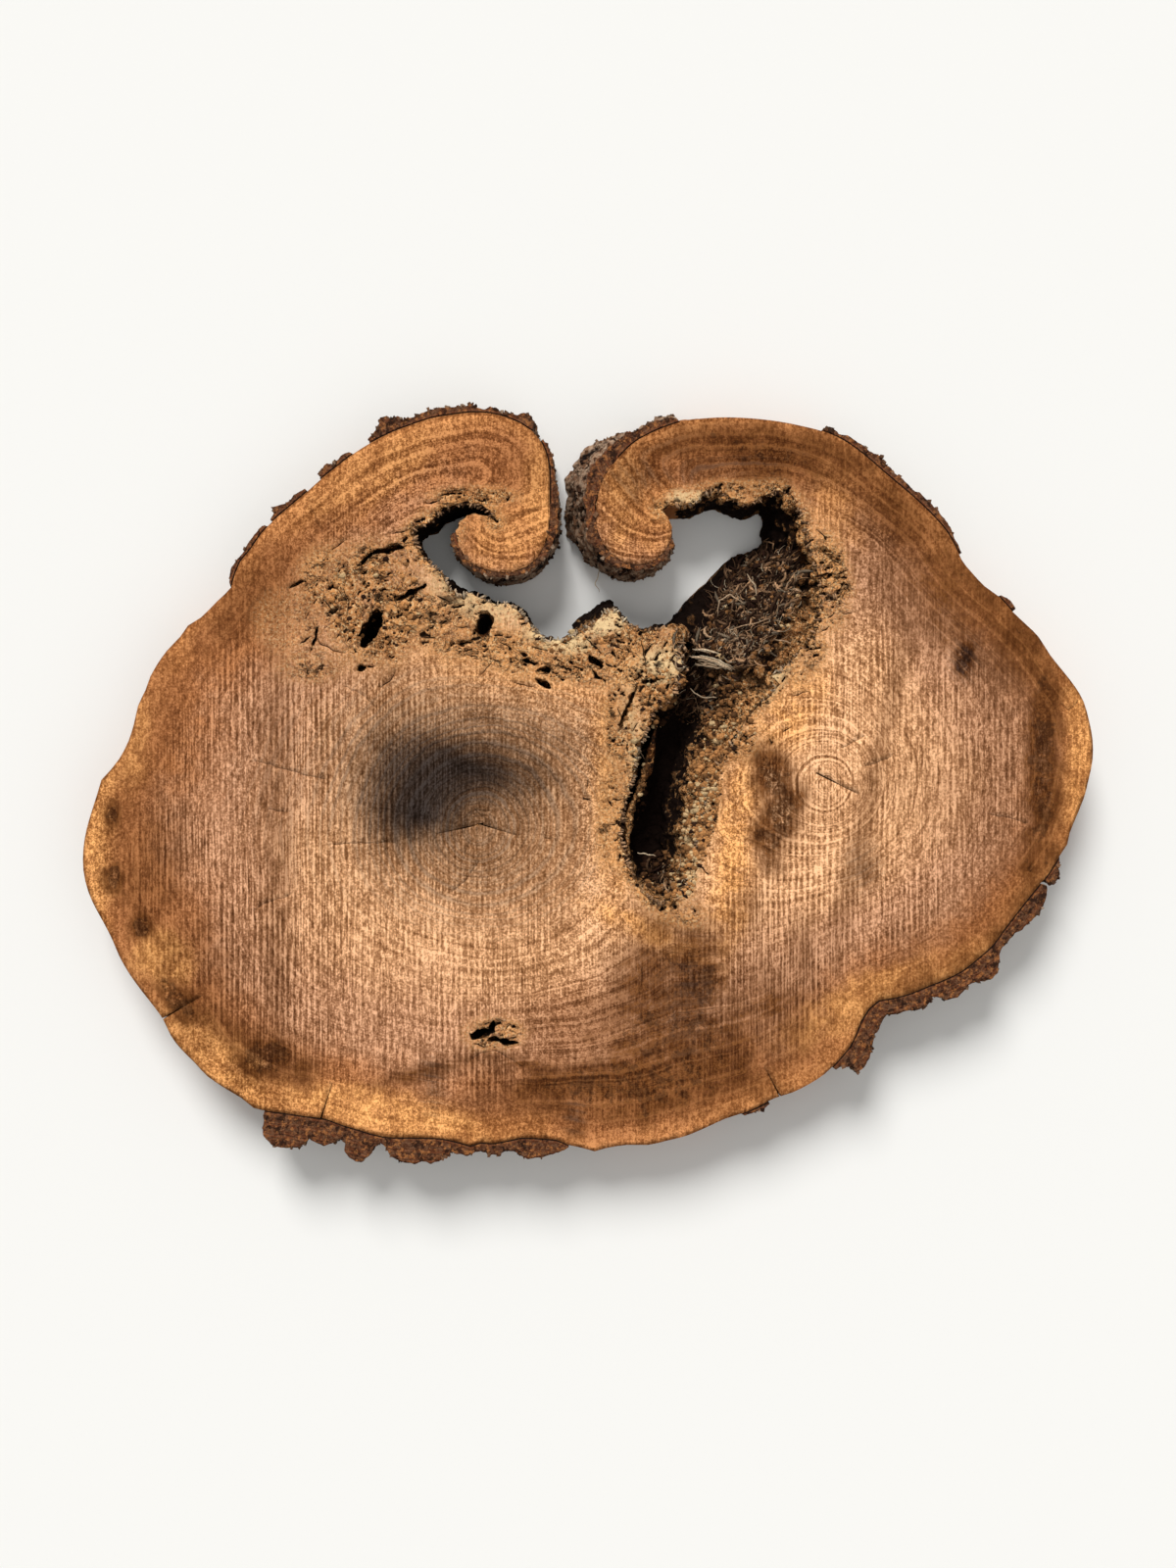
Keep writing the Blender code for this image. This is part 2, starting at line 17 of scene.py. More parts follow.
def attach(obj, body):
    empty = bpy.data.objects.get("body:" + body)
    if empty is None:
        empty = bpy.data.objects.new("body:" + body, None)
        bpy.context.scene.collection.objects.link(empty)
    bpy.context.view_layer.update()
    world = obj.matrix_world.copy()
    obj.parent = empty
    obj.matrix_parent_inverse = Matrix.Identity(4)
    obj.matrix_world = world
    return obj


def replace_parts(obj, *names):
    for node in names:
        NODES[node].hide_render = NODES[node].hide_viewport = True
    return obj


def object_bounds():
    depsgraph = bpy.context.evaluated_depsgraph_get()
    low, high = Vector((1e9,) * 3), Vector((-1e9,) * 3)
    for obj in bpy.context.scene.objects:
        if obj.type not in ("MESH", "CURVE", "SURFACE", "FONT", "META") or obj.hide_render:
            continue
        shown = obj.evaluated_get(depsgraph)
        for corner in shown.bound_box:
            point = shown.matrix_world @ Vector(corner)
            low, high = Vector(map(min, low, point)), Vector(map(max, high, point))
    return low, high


bl_info = {
    "name": "Walnut Slice",
    "version": (1, 0, 0),
    "blender": (4, 5, 0),
    "location": "View3D > Sidebar > Walnut",
    "description": "Sawn walnut slice with curled lips, a decayed hollow and bark",
    "category": "Object",
}

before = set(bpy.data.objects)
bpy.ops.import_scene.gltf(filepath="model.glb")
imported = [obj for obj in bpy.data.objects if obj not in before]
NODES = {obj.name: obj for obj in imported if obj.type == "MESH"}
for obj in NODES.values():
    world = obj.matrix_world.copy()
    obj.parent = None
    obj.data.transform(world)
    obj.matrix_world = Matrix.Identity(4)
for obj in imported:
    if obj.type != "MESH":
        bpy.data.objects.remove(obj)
CAD_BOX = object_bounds()
BARK_NAMES = sorted(name for name in NODES if name.startswith("bark"))
THICKNESS = NODES["wood"].dimensions.z
MM = 0.001

# The hearts of the two stems, and the tips where the two lips end, in millimetres.
LEFT_HEART, RIGHT_HEART = (-134, -54), (292, 0)
LEFT_TIP, RIGHT_TIP = (-112, 320), (90, 336)
# Right of this, in metres, the crevice's wall crumbles; beyond this corner the hollow's wall slopes.
CREVICE_RIGHT, SLOPE_CORNER = 98 * MM, (110 * MM, 120 * MM)
# Heights this close are the same, in metres.
SAME = 1e-5
# Half the width and the depth of a drying crack, in millimetres.
CRACK_HALF, CRACK_DEPTH = 0.5, 1.4
# How far points of a grid stray, as a share of its spacing, and the points along a loose fibre.
STRAY, FIBRE_STEPS = 0.3, 6
BOX_CORNERS = [(x, y, z) for z in (-1, 1) for x, y in ((-1, -1), (1, -1), (1, 1), (-1, 1))]
BOX_FACES = ((3, 2, 1, 0), (4, 5, 6, 7), (0, 1, 5, 4), (1, 2, 6, 5), (2, 3, 7, 6), (3, 0, 4, 7))

# Each zone on the front face is a middle, two half sizes, a turn in degrees and a strength.
# Crumbly decay.
ROT_ZONES = [
    (-262, 222, 66, 72, 10, 1.0), (-170, 198, 84, 42, -14, 0.8), (-80, 160, 96, 30, -14, 0.82),
    (20, 152, 66, 36, -8, 1.0), (-310, 250, 46, 44, 35, 0.7), (-196, 300, 52, 30, 40, 0.85),
    (290, 252, 30, 66, 8, 0.85), (262, 160, 30, 42, -30, 0.7), (-140, 352, 56, 12, 0, 0.85),
    (180, 362, 62, 10, 0, 0.7), (88, 120, 40, 50, 0, 1.0), (40, 66, 20, 76, 4, 0.74),
    (26, -36, 17, 62, -4, 0.7), (142, -30, 18, 60, -8, 0.9), (176, 62, 34, 34, -30, 0.9),
    (104, -152, 44, 20, -20, 0.6), (-116, -306, 38, 20, 0, 0.75), (70, 186, 50, 30, 0, 1.0),
    (-366, 200, 40, 40, 0, 0.55), (-330, 150, 50, 24, 10, 0.6),
]
# Where the grain curls over and the saw left faint marks.
CURLED = [
    (-190, 384, 150, 60, 24, 1.0), (-100, 330, 66, 76, 0, 1.0), (168, 406, 170, 52, -8, 1.0),
    (66, 330, 60, 70, 0, 1.0), (360, 336, 110, 50, -42, 0.8), (-360, 300, 100, 60, 45, 0.5),
    (60, 400, 60, 40, 10, 1.0), (0, -400, 400, 30, 0, 0.3), (40, -300, 130, 110, 0, 0.9),
    (-360, 330, 80, 60, 45, 0.6),
]
# Sandy-grained golden wood beside the decay and along the rim.
SANDY = [
    (10, 0, 26, 190, 4, 1.0), (30, -140, 40, 60, 30, 1.0), (196, 10, 26, 110, -8, 1.0),
    (150, -110, 30, 60, -16, 0.8), (110, -200, 70, 30, -30, 0.8), (254, 130, 30, 70, -34, 0.9),
    (-150, 130, 190, 30, -14, 0.8), (-250, 330, 90, 26, 36, 0.7), (-596, -60, 20, 120, 0, 0.7),
    (-496, -216, 26, 26, 0, 1.0), (-440, -340, 100, 24, -38, 0.7), (330, 230, 24, 90, 0, 0.7),
]
# Where the walls are tan and crumbly and not dark.
CRUMBLY = [
    (150, -20, 40, 100, -8, 1.0), (110, -130, 50, 40, 0, 1.0), (186, 66, 46, 56, -30, 1.0),
    (150, 112, 44, 30, 20, 0.45), (44, 60, 20, 90, 6, 0.7), (52, -60, 14, 60, 0, 0.8),
    (20, 190, 90, 16, 0, 0.6), (262, 180, 20, 50, -20, 0.6),
]
# Dry, pale, splintered rims: bleached wood with a painted highlight on top, most of all along the hollow's
# lower rim.
PALE_LIT_RIMS = [
    (-36, 178, 40, 14, -14, 1.0), (26, 200, 30, 14, 22, 1.0), (92, 146, 28, 20, 0, 0.9),
    (122, 352, 24, 7, 0, 0.8), (-132, 226, 66, 22, -22, 0.6), (210, 120, 36, 16, 36, 0.8),
    (138, -18, 16, 20, 0, 0.6), (160, 60, 26, 16, 20, 0.7), (120, -70, 16, 56, 0, 0.8),
    (246, 176, 16, 36, -24, 0.5), (60, 40, 12, 80, 8, 0.4),
]
# Rust-coloured wood, where the saw marks are faint.
RUSTY = [
    (-566, -30, 34, 150, 0, 0.85), (-530, -190, 56, 80, -30, 0.85), (-460, -290, 90, 46, -36, 0.75),
    (-530, 110, 40, 60, 20, 0.5), (-430, 210, 60, 40, 46, 0.4), (-330, -360, 70, 30, -20, 0.5),
    (-120, -370, 150, 24, 0, 0.35), (-10, -290, 60, 50, 0, 0.4),
]
# Blue-black and grey stains.
STAINS = [
    (-208, -34, 56, 37, 12, 1.0), (-150, 20, 74, 25, -12, 1.0), (-200, 0, 56, 40, 8, 0.92),
    (-150, 12, 116, 56, 0, 0.5), (-150, 0, 170, 100, 0, 0.38), (-150, 62, 120, 40, 0, 0.4),
    (-240, 8, 54, 72, 0, 0.45), (-140, -104, 100, 54, 0, 0.38), (-84, 2, 46, 38, 0, 0.22),
    (-16, -405, 10, 16, 0, 0.45), (462, 154, 14, 20, -15, 0.5), (336, -100, 18, 22, 6, 0.3),
    (-190, -368, 12, 30, 0, 0.4), (40, 384, 60, 14, 24, 0.25), (136, 384, 74, 10, 8, 0.4),
    (62, 366, 12, 26, -30, 0.35), (120, -262, 30, 60, 0, 0.2),
]
# Dark brown heartwood, spots near the rim and water marks.
BROWNS = [
    (130, -240, 42, 56, 20, 1.25), (426, -6, 60, 60, 0, 0.22), (110, -306, 100, 70, 0, 1.15),
    (76, -244, 50, 54, 0, 0.95), (60, -366, 160, 40, 4, 1.2), (210, -296, 90, 70, 30, 0.75),
    (120, -190, 66, 38, -30, 0.9), (558, 24, 22, 150, 0, 1.3), (-220, 130, 110, 34, -10, 0.25),
    (534, 170, 60, 70, -40, 0.9), (520, -170, 20, 90, -34, 0.9), (430, -240, 22, 110, -66, 0.7),
    (486, 210, 60, 40, -40, 0.8), (450, 235, 100, 66, -34, 0.95), (225, 405, 140, 38, -6, 1.08),
    (380, 330, 100, 46, -38, 0.8), (226, 8, 24, 38, 14, 1.4), (238, -34, 24, 38, -14, 1.4),
    (222, -70, 20, 27, 26, 1.3), (212, 34, 16, 20, 0, 0.8), (224, -98, 15, 14, 0, 1.0),
    (-196, -352, 70, 10, 14, 0.9), (-54, -350, 84, 11, -13, 0.9), (-116, -336, 34, 10, 0, 0.7),
    (-540, 40, 60, 110, 0, 0.3), (110, 150, 26, 26, 0, 1.1), (74, 196, 30, 16, 0, 1.0),
    (-330, 300, 80, 52, 38, 0.2), (-200, 400, 130, 30, 6, 0.15), (-410, 230, 80, 46, 46, 0.6),
    (430, -200, 120, 46, 30, 0.3), (-60, -386, 66, 26, 0, 0.65), (-380, -60, 20, 330, 0, 0.5),
    (-500, -230, 66, 66, -40, 0.55), (60, 20, 30, 130, 4, 0.25), (106, -226, 66, 46, -30, 0.85),
    (500, 20, 70, 170, 0, 0.25), (345, -288, 40, 42, 0, 0.35), (195, -156, 26, 34, 0, 0.4),
    (-480, -306, 40, 24, -40, 0.4), (-30, -306, 44, 30, 0, 0.35), (50, 400, 44, 64, 0, 0.35),
    (-60, 400, 50, 50, -40, 0.3), (-540, -96, 46, 80, 0, 0.62), (-582, -36, 11, 17, 0, 1.6),
    (-580, -114, 13, 18, 0, 1.6), (-548, -176, 15, 18, 0, 1.5), (-506, -262, 40, 16, -45, 1.4),
    (-394, -334, 36, 30, 20, 1.4), (-350, -352, 24, 18, 0, 0.9), (70, -396, 17, 22, 0, 1.1),
    (548, -66, 17, 24, 0, 1.2), (540, -100, 15, 20, 0, 1.1), (222, -272, 18, 18, 0, 1.0),
    (264, -222, 16, 60, 3, 0.6), (205, 378, 40, 30, 0, 0.8), (312, 396, 36, 20, 0, 0.7),
    (432, 252, 56, 26, -25, 0.6), (-127, -376, 12, 30, 0, 0.6), (-440, -300, 50, 20, -40, 0.8),
    (-16, -405, 20, 28, 0, 0.8), (338, -46, 15, 270, -12.6, 0.48), (462, 154, 13, 21, -15, 1.6),
    (338, -100, 18, 36, -12, 0.5),
]
# Bright golden sapwood and dry pale patches.
GOLDS = [
    (-602, -60, 18, 120, 0, 0.9), (-450, -340, 90, 30, -38, 0.9), (-250, -400, 120, 24, -12, 0.9),
    (-522, -214, 36, 27, -34, 1.3), (330, -270, 90, 26, 28, 0.8), (560, -150, 26, 60, -34, 0.8),
    (604, 10, 20, 140, 0, 0.8), (470, -226, 22, 90, -60, 0.8), (-560, 60, 20, 60, 0, 0.6),
    (180, -70, 26, 130, -6, 0.9), (26, -10, 20, 150, 3, 0.8), (76, -182, 84, 15, -26, 0.95),
    (250, 90, 34, 60, -30, 0.8), (-90, 150, 160, 40, -14, 0.5), (-260, 380, 90, 30, 34, 0.5),
    (-594, 20, 18, 60, 0, 0.8), (-108, 294, 44, 36, 0, 0.4), (92, 310, 36, 30, 0, 0.3),
    (-55, 350, 22, 80, 0, 0.5), (40, 350, 24, 60, 0, 0.6), (300, 330, 34, 60, 0, 0.4),
]
# Thin drying cracks on the front face.
CRACKS = [
    [(-406, 28), (-378, 20), (-348, 12), (-324, 6)], [(-390, -31), (-370, -35)],
    [(-408, -154), (-390, -144), (-368, -138)], [(-342, 346), (-332, 322), (-324, 302)],
    [(-314, -74), (-276, -72), (-240, -72)], [(580, 98), (588, 91), (595, 94), (600, 101)],
    [(496, -38), (516, -42), (536, -48)], [(24, -79), (26, -102), (34, -112), (35, -126)],
    [(-146, -340), (-132, -330), (-114, -326), (-96, -336), (-82, -346)], [(279, 12), (270, 22)],
    [(-130, -40), (-140, -30), (-122, -34)], [(-146, -72), (-154, -96)], [(312, 44), (338, 58)],
    [(-134, -96), (-150, -118), (-166, -132)], [(-296, 118), (-276, 110), (-262, 96)],
    [(342, 22), (372, 34)], [(60, -206), (66, -232), (64, -258)], [(-52, -66), (-44, -67)],
]
# Slits and small caves that decay opened: the middle line, half the width and the depth.
SLITS = [
    ([(-282, 269), (-264, 282), (-244, 292), (-228, 288)], 4.2, 9),
    ([(-239, 224), (-224, 234), (-212, 242), (-198, 241)], 3.0, 8), ([(-238, 307), (-220, 311)], 1.8, 5),
    ([(-196, 344), (-184, 347)], 2.4, 6), ([(-179, 354), (-172, 356)], 1.8, 5),
    ([(-364, 242), (-350, 248)], 1.8, 5), ([(-352, 173), (-342, 180)], 2.4, 6),
    ([(-336, 202), (-334, 184), (-328, 172), (-312, 164), (-298, 160)], 1.3, 4),
    ([(-284, 144), (-264, 144)], 3.0, 7), ([(-236, 138), (-241, 128), (-254, 119)], 1.3, 4),
    ([(-204, 180), (-188, 179)], 2.4, 6), ([(-196, 208), (-184, 208)], 1.8, 4),
    ([(-166, 170), (-149, 173), (-134, 178)], 2.4, 6), ([(-184, 230), (-170, 224)], 3.0, 6),
    ([(-116, 208), (-120, 192), (-127, 178)], 5.4, 10), ([(-161, 192), (-146, 192)], 1.8, 4),
    ([(-146, 158), (-137, 156)], 1.8, 4), ([(-130, 134), (-116, 152)], 1.2, 3),
    ([(-88, 154), (-74, 151), (-64, 146)], 2.4, 6), ([(-68, 168), (-52, 164)], 1.8, 5),
    ([(-56, 142), (-40, 136)], 3.0, 6), ([(-64, 128), (-44, 118)], 2.0, 5),
    ([(-92, 124), (-64, 118)], 1.2, 3), ([(-20, 144), (-8, 142)], 2.1, 5), ([(-5, 160), (13, 148)], 3.0, 6),
    ([(0, 176), (16, 160)], 3.0, 6), ([(20, 176), (40, 166)], 3.0, 6), ([(20, 148), (29, 144)], 2.4, 5),
    ([(10, 136), (14, 133)], 1.8, 4), ([(65, 176), (72, 143)], 1.8, 5),
    ([(-312, 288), (-298, 298)], 1.4, 4), ([(-300, 240), (-293, 222), (-296, 206)], 1.6, 5),
    ([(-324, 226), (-314, 214)], 1.6, 4), ([(-260, 252), (-246, 254)], 1.4, 4),
    ([(-108, 174), (-96, 168)], 1.8, 4), ([(-40, 154), (-30, 149)], 1.8, 4),
    ([(110, 130), (96, 130), (82, 128), (67, 118), (56, 103), (50, 86), (42, 72), (38, 64)], 2.6, 8),
    ([(37, 92), (38, 88)], 2.4, 5), ([(48, 48), (49, 42)], 3.6, 7), ([(68, 98), (79, 97)], 4.8, 8),
    ([(88, 115), (92, 112)], 3.0, 6), ([(-4, -18), (0, -19)], 2.4, 5), ([(31, -20), (38, -19)], 2.4, 5),
    ([(28, -50), (36, -49)], 1.4, 4), ([(34, -68), (40, -64)], 2.4, 5), ([(-1, 5), (0, -4)], 1.1, 3),
    ([(55, 66), (60, 74)], 1.8, 5), ([(62, 120), (60, 113)], 1.8, 4),
    ([(286, 288), (296, 278), (310, 275)], 4.2, 8), ([(280, 312), (294, 302)], 1.4, 4),
    ([(288, 254), (308, 258), (317, 262)], 2.4, 6),
    ([(264, 208), (283, 221), (302, 234), (314, 246)], 3.0, 8), ([(306, 230), (316, 234)], 1.8, 4),
    ([(314, 208), (322, 209)], 1.4, 3), ([(280, 166), (284, 168)], 1.4, 3),
    ([(252, 108), (266, 112)], 1.2, 3), ([(240, 64), (245, 67)], 2.0, 4),
    ([(271, 240), (281, 252)], 3.6, 8), ([(295, 204), (302, 209)], 1.6, 4),
    ([(286, 186), (295, 192)], 1.6, 4), ([(269, 180), (278, 187)], 1.8, 5),
    ([(124, 16), (137, 20), (152, 23)], 4.8, 9), ([(175, 65), (188, 72), (202, 74)], 3.0, 7),
    ([(167, 40), (179, 46)], 3.6, 7), ([(110, -119), (119, -130)], 4.2, 8),
    ([(124, -14), (133, -23)], 3.0, 6), ([(130, -74), (134, -82)], 2.4, 5),
    ([(223, 55), (224, 52)], 2.0, 4), ([(192, 54), (204, 60)], 2.4, 5), ([(146, 0), (154, -7)], 2.4, 5),
    ([(154, 36), (161, 43)], 3.0, 6), ([(142, -29), (146, -38)], 2.4, 5),
    ([(120, -55), (126, -62)], 3.0, 6), ([(138, -101), (143, -108)], 2.0, 4),
    ([(140, 350), (154, 356), (169, 349)], 4.2, 8), ([(178, 344), (194, 346)], 2.4, 6),
    ([(205, 347), (216, 354)], 3.6, 7), ([(235, 360), (247, 354)], 3.6, 7),
    ([(-146, -308), (-132, -302), (-116, -295)], 3.0, 8),
    ([(-122, -312), (-106, -310), (-84, -316)], 3.6, 8), ([(-137, -319), (-127, -323)], 1.8, 5),
    ([(-101, -300), (-96, -296)], 1.8, 4),
]
# How many chips stand out of each patch of bark.
CHIPS = {
    "bark_top_left": 330, "bark_left_lip": 160, "bark_left_flake_upper": 50, "bark_left_flake_lower": 50,
    "bark_left_sliver": 30, "bark_right_lip": 420, "bark_top_right": 150, "bark_right_bit": 24,
    "bark_right_flake": 50, "bark_lower_right": 170, "bark_lower_left": 190, "bark_bottom_flake": 24,
}
# Where loose fibres and crumbs lie; here the last number is the share of them.
FIBRE_AREAS = [
    (205, 225, 46, 74, -30, 1.0), (160, 160, 60, 26, 10, 0.4), (130, 110, 24, 30, -20, 0.1),
    (92, -122, 24, 14, 0, 0.03),
]
CRUMB_AREAS = [
    (205, 215, 50, 80, -28, 1.0), (150, 110, 46, 40, 20, 0.7), (176, 60, 30, 34, 0, 0.35),
    (142, -16, 20, 90, -8, 1.6), (100, -112, 34, 26, -20, 0.8), (128, -60, 12, 40, -6, 0.7),
    (84, 110, 26, 40, 0, 0.3), (60, 30, 12, 80, 4, 0.2), (-10, 176, 60, 16, 0, 0.25),
    (-255, 220, 60, 60, 0, 0.35),
]
# Single strands: points in millimetres, width, lightness and paleness.
STRANDS = [
    ([(126, 158, 66), (142, 155, 69), (160, 150, 71), (178, 140, 68)], 6, 0.95, 0.75),
    ([(132, 148, 64), (150, 146, 68), (168, 145, 69)], 4, 0.9, 0.6),
    ([(128, 166, 65), (146, 164, 69), (160, 160, 70)], 3, 0.9, 0.6),
    ([(126, 120, 50), (140, 108, 54), (160, 107, 60)], 1.6, 0.7, 0.4),
    ([(160, 208, 58), (162, 226, 64), (176, 234, 68), (192, 222, 66)], 1.8, 0.6, 0.4),
    ([(176, 214, 60), (182, 232, 66), (198, 246, 66)], 1.6, 0.5, 0.3),
    ([(196, 260, 60), (206, 244, 66), (208, 232, 66)], 1.8, 0.6, 0.4),
    ([(228, 180, 66), (244, 175, 71), (258, 172, 72)], 1.6, 0.6, 0.3),
    ([(170, 190, 60), (196, 196, 66), (226, 204, 70)], 1.4, 0.5, 0.2),
    ([(60, -84, 66), (70, -86, 68), (84, -88, 67)], 1.8, 0.8, 0.5),
    ([(12, 278, 40), (14, 266, 38), (10, 252, 36), (14, 240, 35)], 1.2, 0.1, 0.0),
    ([(60, 74, 58), (66, 60, 60), (64, 44, 58), (70, 30, 56)], 1.8, 0.5, 0.2),
]


def length_property(label, description, millimetres):
    return FloatProperty(name=label, description=description, default=millimetres * MM, unit="LENGTH")


def count_property(label, description, default):
    return IntProperty(name=label, description=description, default=default, min=0)


class WalnutSizes(PropertyGroup):
    fine_spacing: length_property("Fine spacing", "Distance between points of the decayed face", 2.5)
    coarse_spacing: length_property("Coarse spacing", "Distance between points of the sound face", 8)
    back_spacing: length_property("Back spacing", "Distance between points of the back face", 13)
    wall_spacing: length_property("Wall spacing", "Longest edge on the walls of the hollow", 4.4)
    edge_spacing: length_property("Edge spacing", "Longest edge on the outer edge of the slice", 9)
    bark_spacing: length_property("Bark spacing", "Longest edge on the bark", 3.2)
    pit_depth: length_property("Pit depth", "Depth of the pits that decay opened", 7)
    bark_relief: length_property("Bark relief", "Height of the bark's ridges", 2.6)
    saw_pitch: length_property("Saw pitch", "Distance between saw marks", 7)
    ring_count: count_property("Rings", "Number of growth rings", 36)
    fibre_count: count_property("Fibres", "Loose fibres on the sloping wall of the hollow", 1900)
    splinter_count: count_property("Splinters", "Splinters along the ragged rim of the hollow", 900)
    crumb_count: count_property("Crumbs", "Crumbs of decayed wood", 3200)


def colour_property(label, description, default):
    return FloatVectorProperty(
        name=label, description=description, default=default, size=3, min=0, max=1, subtype="COLOR",
    )


class WalnutColours(PropertyGroup):
    heart: colour_property("Heart", "Pinkish tan heartwood", (0.63, 0.315, 0.145))
    middle: colour_property("Middle", "Wood between the heart and the edge", (0.47, 0.222, 0.11))
    outer: colour_property("Outer", "Reddish wood near the edge", (0.34, 0.122, 0.04))
    sapwood: colour_property("Sapwood", "Rim under the bark", (0.48, 0.185, 0.057))
    brown: colour_property("Brown", "Dark brown marks", (0.115, 0.037, 0.009))
    stain: colour_property("Stain", "Blue-black stain", (0.013, 0.011, 0.0108))
    gold: colour_property("Gold", "Bright dry patches", (0.68, 0.295, 0.09))
    rot: colour_property("Rot", "Crumbly decayed wood", (0.7, 0.32, 0.11))
    fibre: colour_property("Fibre", "Loose fibres and crumbs", (0.7, 0.4, 0.21))
    fibre_pale: colour_property("Pale fibre", "Dry, bleached fibres", (0.82, 0.66, 0.45))
    rot_pale: colour_property("Pale rot", "Bleached decayed wood", (0.88, 0.62, 0.32))
    # deep also serves as painted shade: the near-black of the hollow's deep walls, its pits, slits and
    # cracks and the bark's furrows; elsewhere it colours dark spots in the heartwood and the join at the
    # bark's inner edge.
    deep: colour_property("Deep", "Wood deep in the hollow", (0.009, 0.0045, 0.003))
    bark_cut: colour_property("Cut bark", "Sawn face of the bark", (0.17, 0.05, 0.019))
    bark_plate: colour_property("Bark plate", "Weathered outside of the bark", (0.25, 0.125, 0.065))
    bark_grey: colour_property("Bark grey", "Weathered crust on the bark", (0.44, 0.3, 0.2))
    bark_furrow: colour_property("Bark furrow", "Dark furrows of the bark", (0.028, 0.012, 0.007))
    floor: colour_property("Floor", "Pale floor", (0.86, 0.852, 0.82))
    floor_speck: colour_property("Floor speck", "Faint specks of the floor", (0.8, 0.79, 0.77))


class Growth:
    """Distances that the looks follow: from the hearts, from the bark side and from the hollow's rim."""

    def __init__(self, rim):
        """rim is the wood's front outline as one anticlockwise loop of points."""
        left = min(range(len(rim)), key=lambda i: (rim[i] - Vector(LEFT_TIP) * MM).length)
        right = min(range(len(rim)), key=lambda i: (rim[i] - Vector(RIGHT_TIP) * MM).length)
        outer = rim[left:right + 1] if left < right else rim[left:] + rim[:right + 1]
        hollow = rim[right:left + 1] if right < left else rim[right:] + rim[:left + 1]
        self.outer = self.resample(self.without_notches(outer), 6 * MM)
        self.hollow = self.resample(hollow, 4 * MM)

    @staticmethod
    def without_notches(chain):
        """The chain without the narrow drying cracks that run in from the edge."""
        kept, i = [], 0
        while i < len(chain):
            kept.append(chain[i])
            run, onward, j = 0.0, i + 1, i + 1
            while j < len(chain) and run < 260 * MM:
                run += (chain[j] - chain[j - 1]).length
                if run > 20 * MM and (chain[j] - chain[i]).length < 0.35 * run:
                    onward = j
                j += 1
            i = onward
        return kept

    @staticmethod
    def resample(chain, spacing):
        found = []
        carry = 0.0
        for a, b in zip(chain, chain[1:]):
            length = (b - a).length
            while carry < length:
                found.append(a.lerp(b, carry / length))
                carry += spacing
            carry -= length
        return np.array([tuple(p) for p in found])

    def bark_distance(self, places):
        """A smooth distance to the bark side, which has no creases inside the slice."""
        found = np.empty(len(places))
        for start in range(0, len(places), 2000):
            part = places[start:start + 2000]
            squares = ((part[:, None, :] - self.outer[None]) ** 2).sum(2) + (0.4 * MM) ** 2
            weight = (6 * MM) * 8 / (3 * math.pi) * (squares ** -3).sum(1)
            found[start:start + 2000] = weight ** -0.2
        return found

    @staticmethod
    def nearest(places, line):
        found = np.empty(len(places))
        for start in range(0, len(places), 2000):
            part = places[start:start + 2000]
            squares = ((part[:, None, :] - line[None]) ** 2).sum(2)
            found[start:start + 2000] = np.sqrt(squares.min(1))
        return found

    def age(self, places, off):
        """0 at each heart and 1 under the bark; the smaller of the two stems' ages."""
        ages = []
        for heart in (LEFT_HEART, RIGHT_HEART):
            away = np.hypot(*(places - np.array(heart) * MM).T)
            ages.append(away / (away + off + 1e-6))
        return np.minimum(*ages)


def zone_strength(places, zones, softness=0.5, ragged=None):
    """How strongly named zones cover each place, fading out past their uneven edges."""
    found = np.zeros(len(places))
    for x, y, wide, high, tilt, strength in zones:
        angle = math.radians(tilt)
        away = places - np.array((x, y)) * MM
        along = (away[:, 0] * math.cos(angle) + away[:, 1] * math.sin(angle)) / (wide * MM)
        across = (away[:, 1] * math.cos(angle) - away[:, 0] * math.sin(angle)) / (high * MM)
        reach = np.hypot(along, across) + (0 if ragged is None else ragged)
        share = np.clip((1 + softness - reach) / (2 * softness), 0, 1)
        found = np.maximum(found, strength * share * share * (3 - 2 * share))
    return found


def merged_copy(node):
    """A CAD node's mesh as a bmesh with its doubles merged."""
    body = bmesh.new()
    body.from_mesh(node.data)
    bmesh.ops.remove_doubles(body, verts=body.verts, dist=1e-6)
    return body


def split_long_edges(body, limit, rounds=6):
    """Splits edges that are longer than limit(middle) until none is."""
    for _ in range(rounds):
        long_edges = [
            e for e in body.edges
            if e.calc_length() > limit((e.verts[0].co + e.verts[1].co) / 2)
        ]
        if not long_edges:
            break
        bmesh.ops.subdivide_edges(body, edges=long_edges, cuts=1)
        bmesh.ops.triangulate(body, faces=[f for f in body.faces if len(f.verts) > 3])


def open_edges(body, height):
    return [
        e for e in body.edges
        if e.is_boundary and all(abs(v.co.z - height) < 2 * SAME for v in e.verts)
    ]


def longest_loop(edges):
    """The longest closed chain among these edges, as 2D points, anticlockwise."""
    links = {}
    for e in edges:
        a, b = e.verts
        links.setdefault(a, []).append(b)
        links.setdefault(b, []).append(a)
    left = dict.fromkeys(links)
    best = []
    while left:
        start, _ = left.popitem()
        chain, last, here = [start], None, start
        while True:
            onward = [v for v in links[here] if v is not last and (v in left or v is start)]
            if not onward or onward[0] is start:
                break
            last, here = here, onward[0]
            left.pop(here)
            chain.append(here)
        if len(chain) > len(best):
            best = chain
    points = [v.co.xy.copy() for v in best]
    turn = sum(a.x * b.y - b.x * a.y for a, b in zip(points, points[1:] + points[:1]))
    return points if turn > 0 else points[::-1]


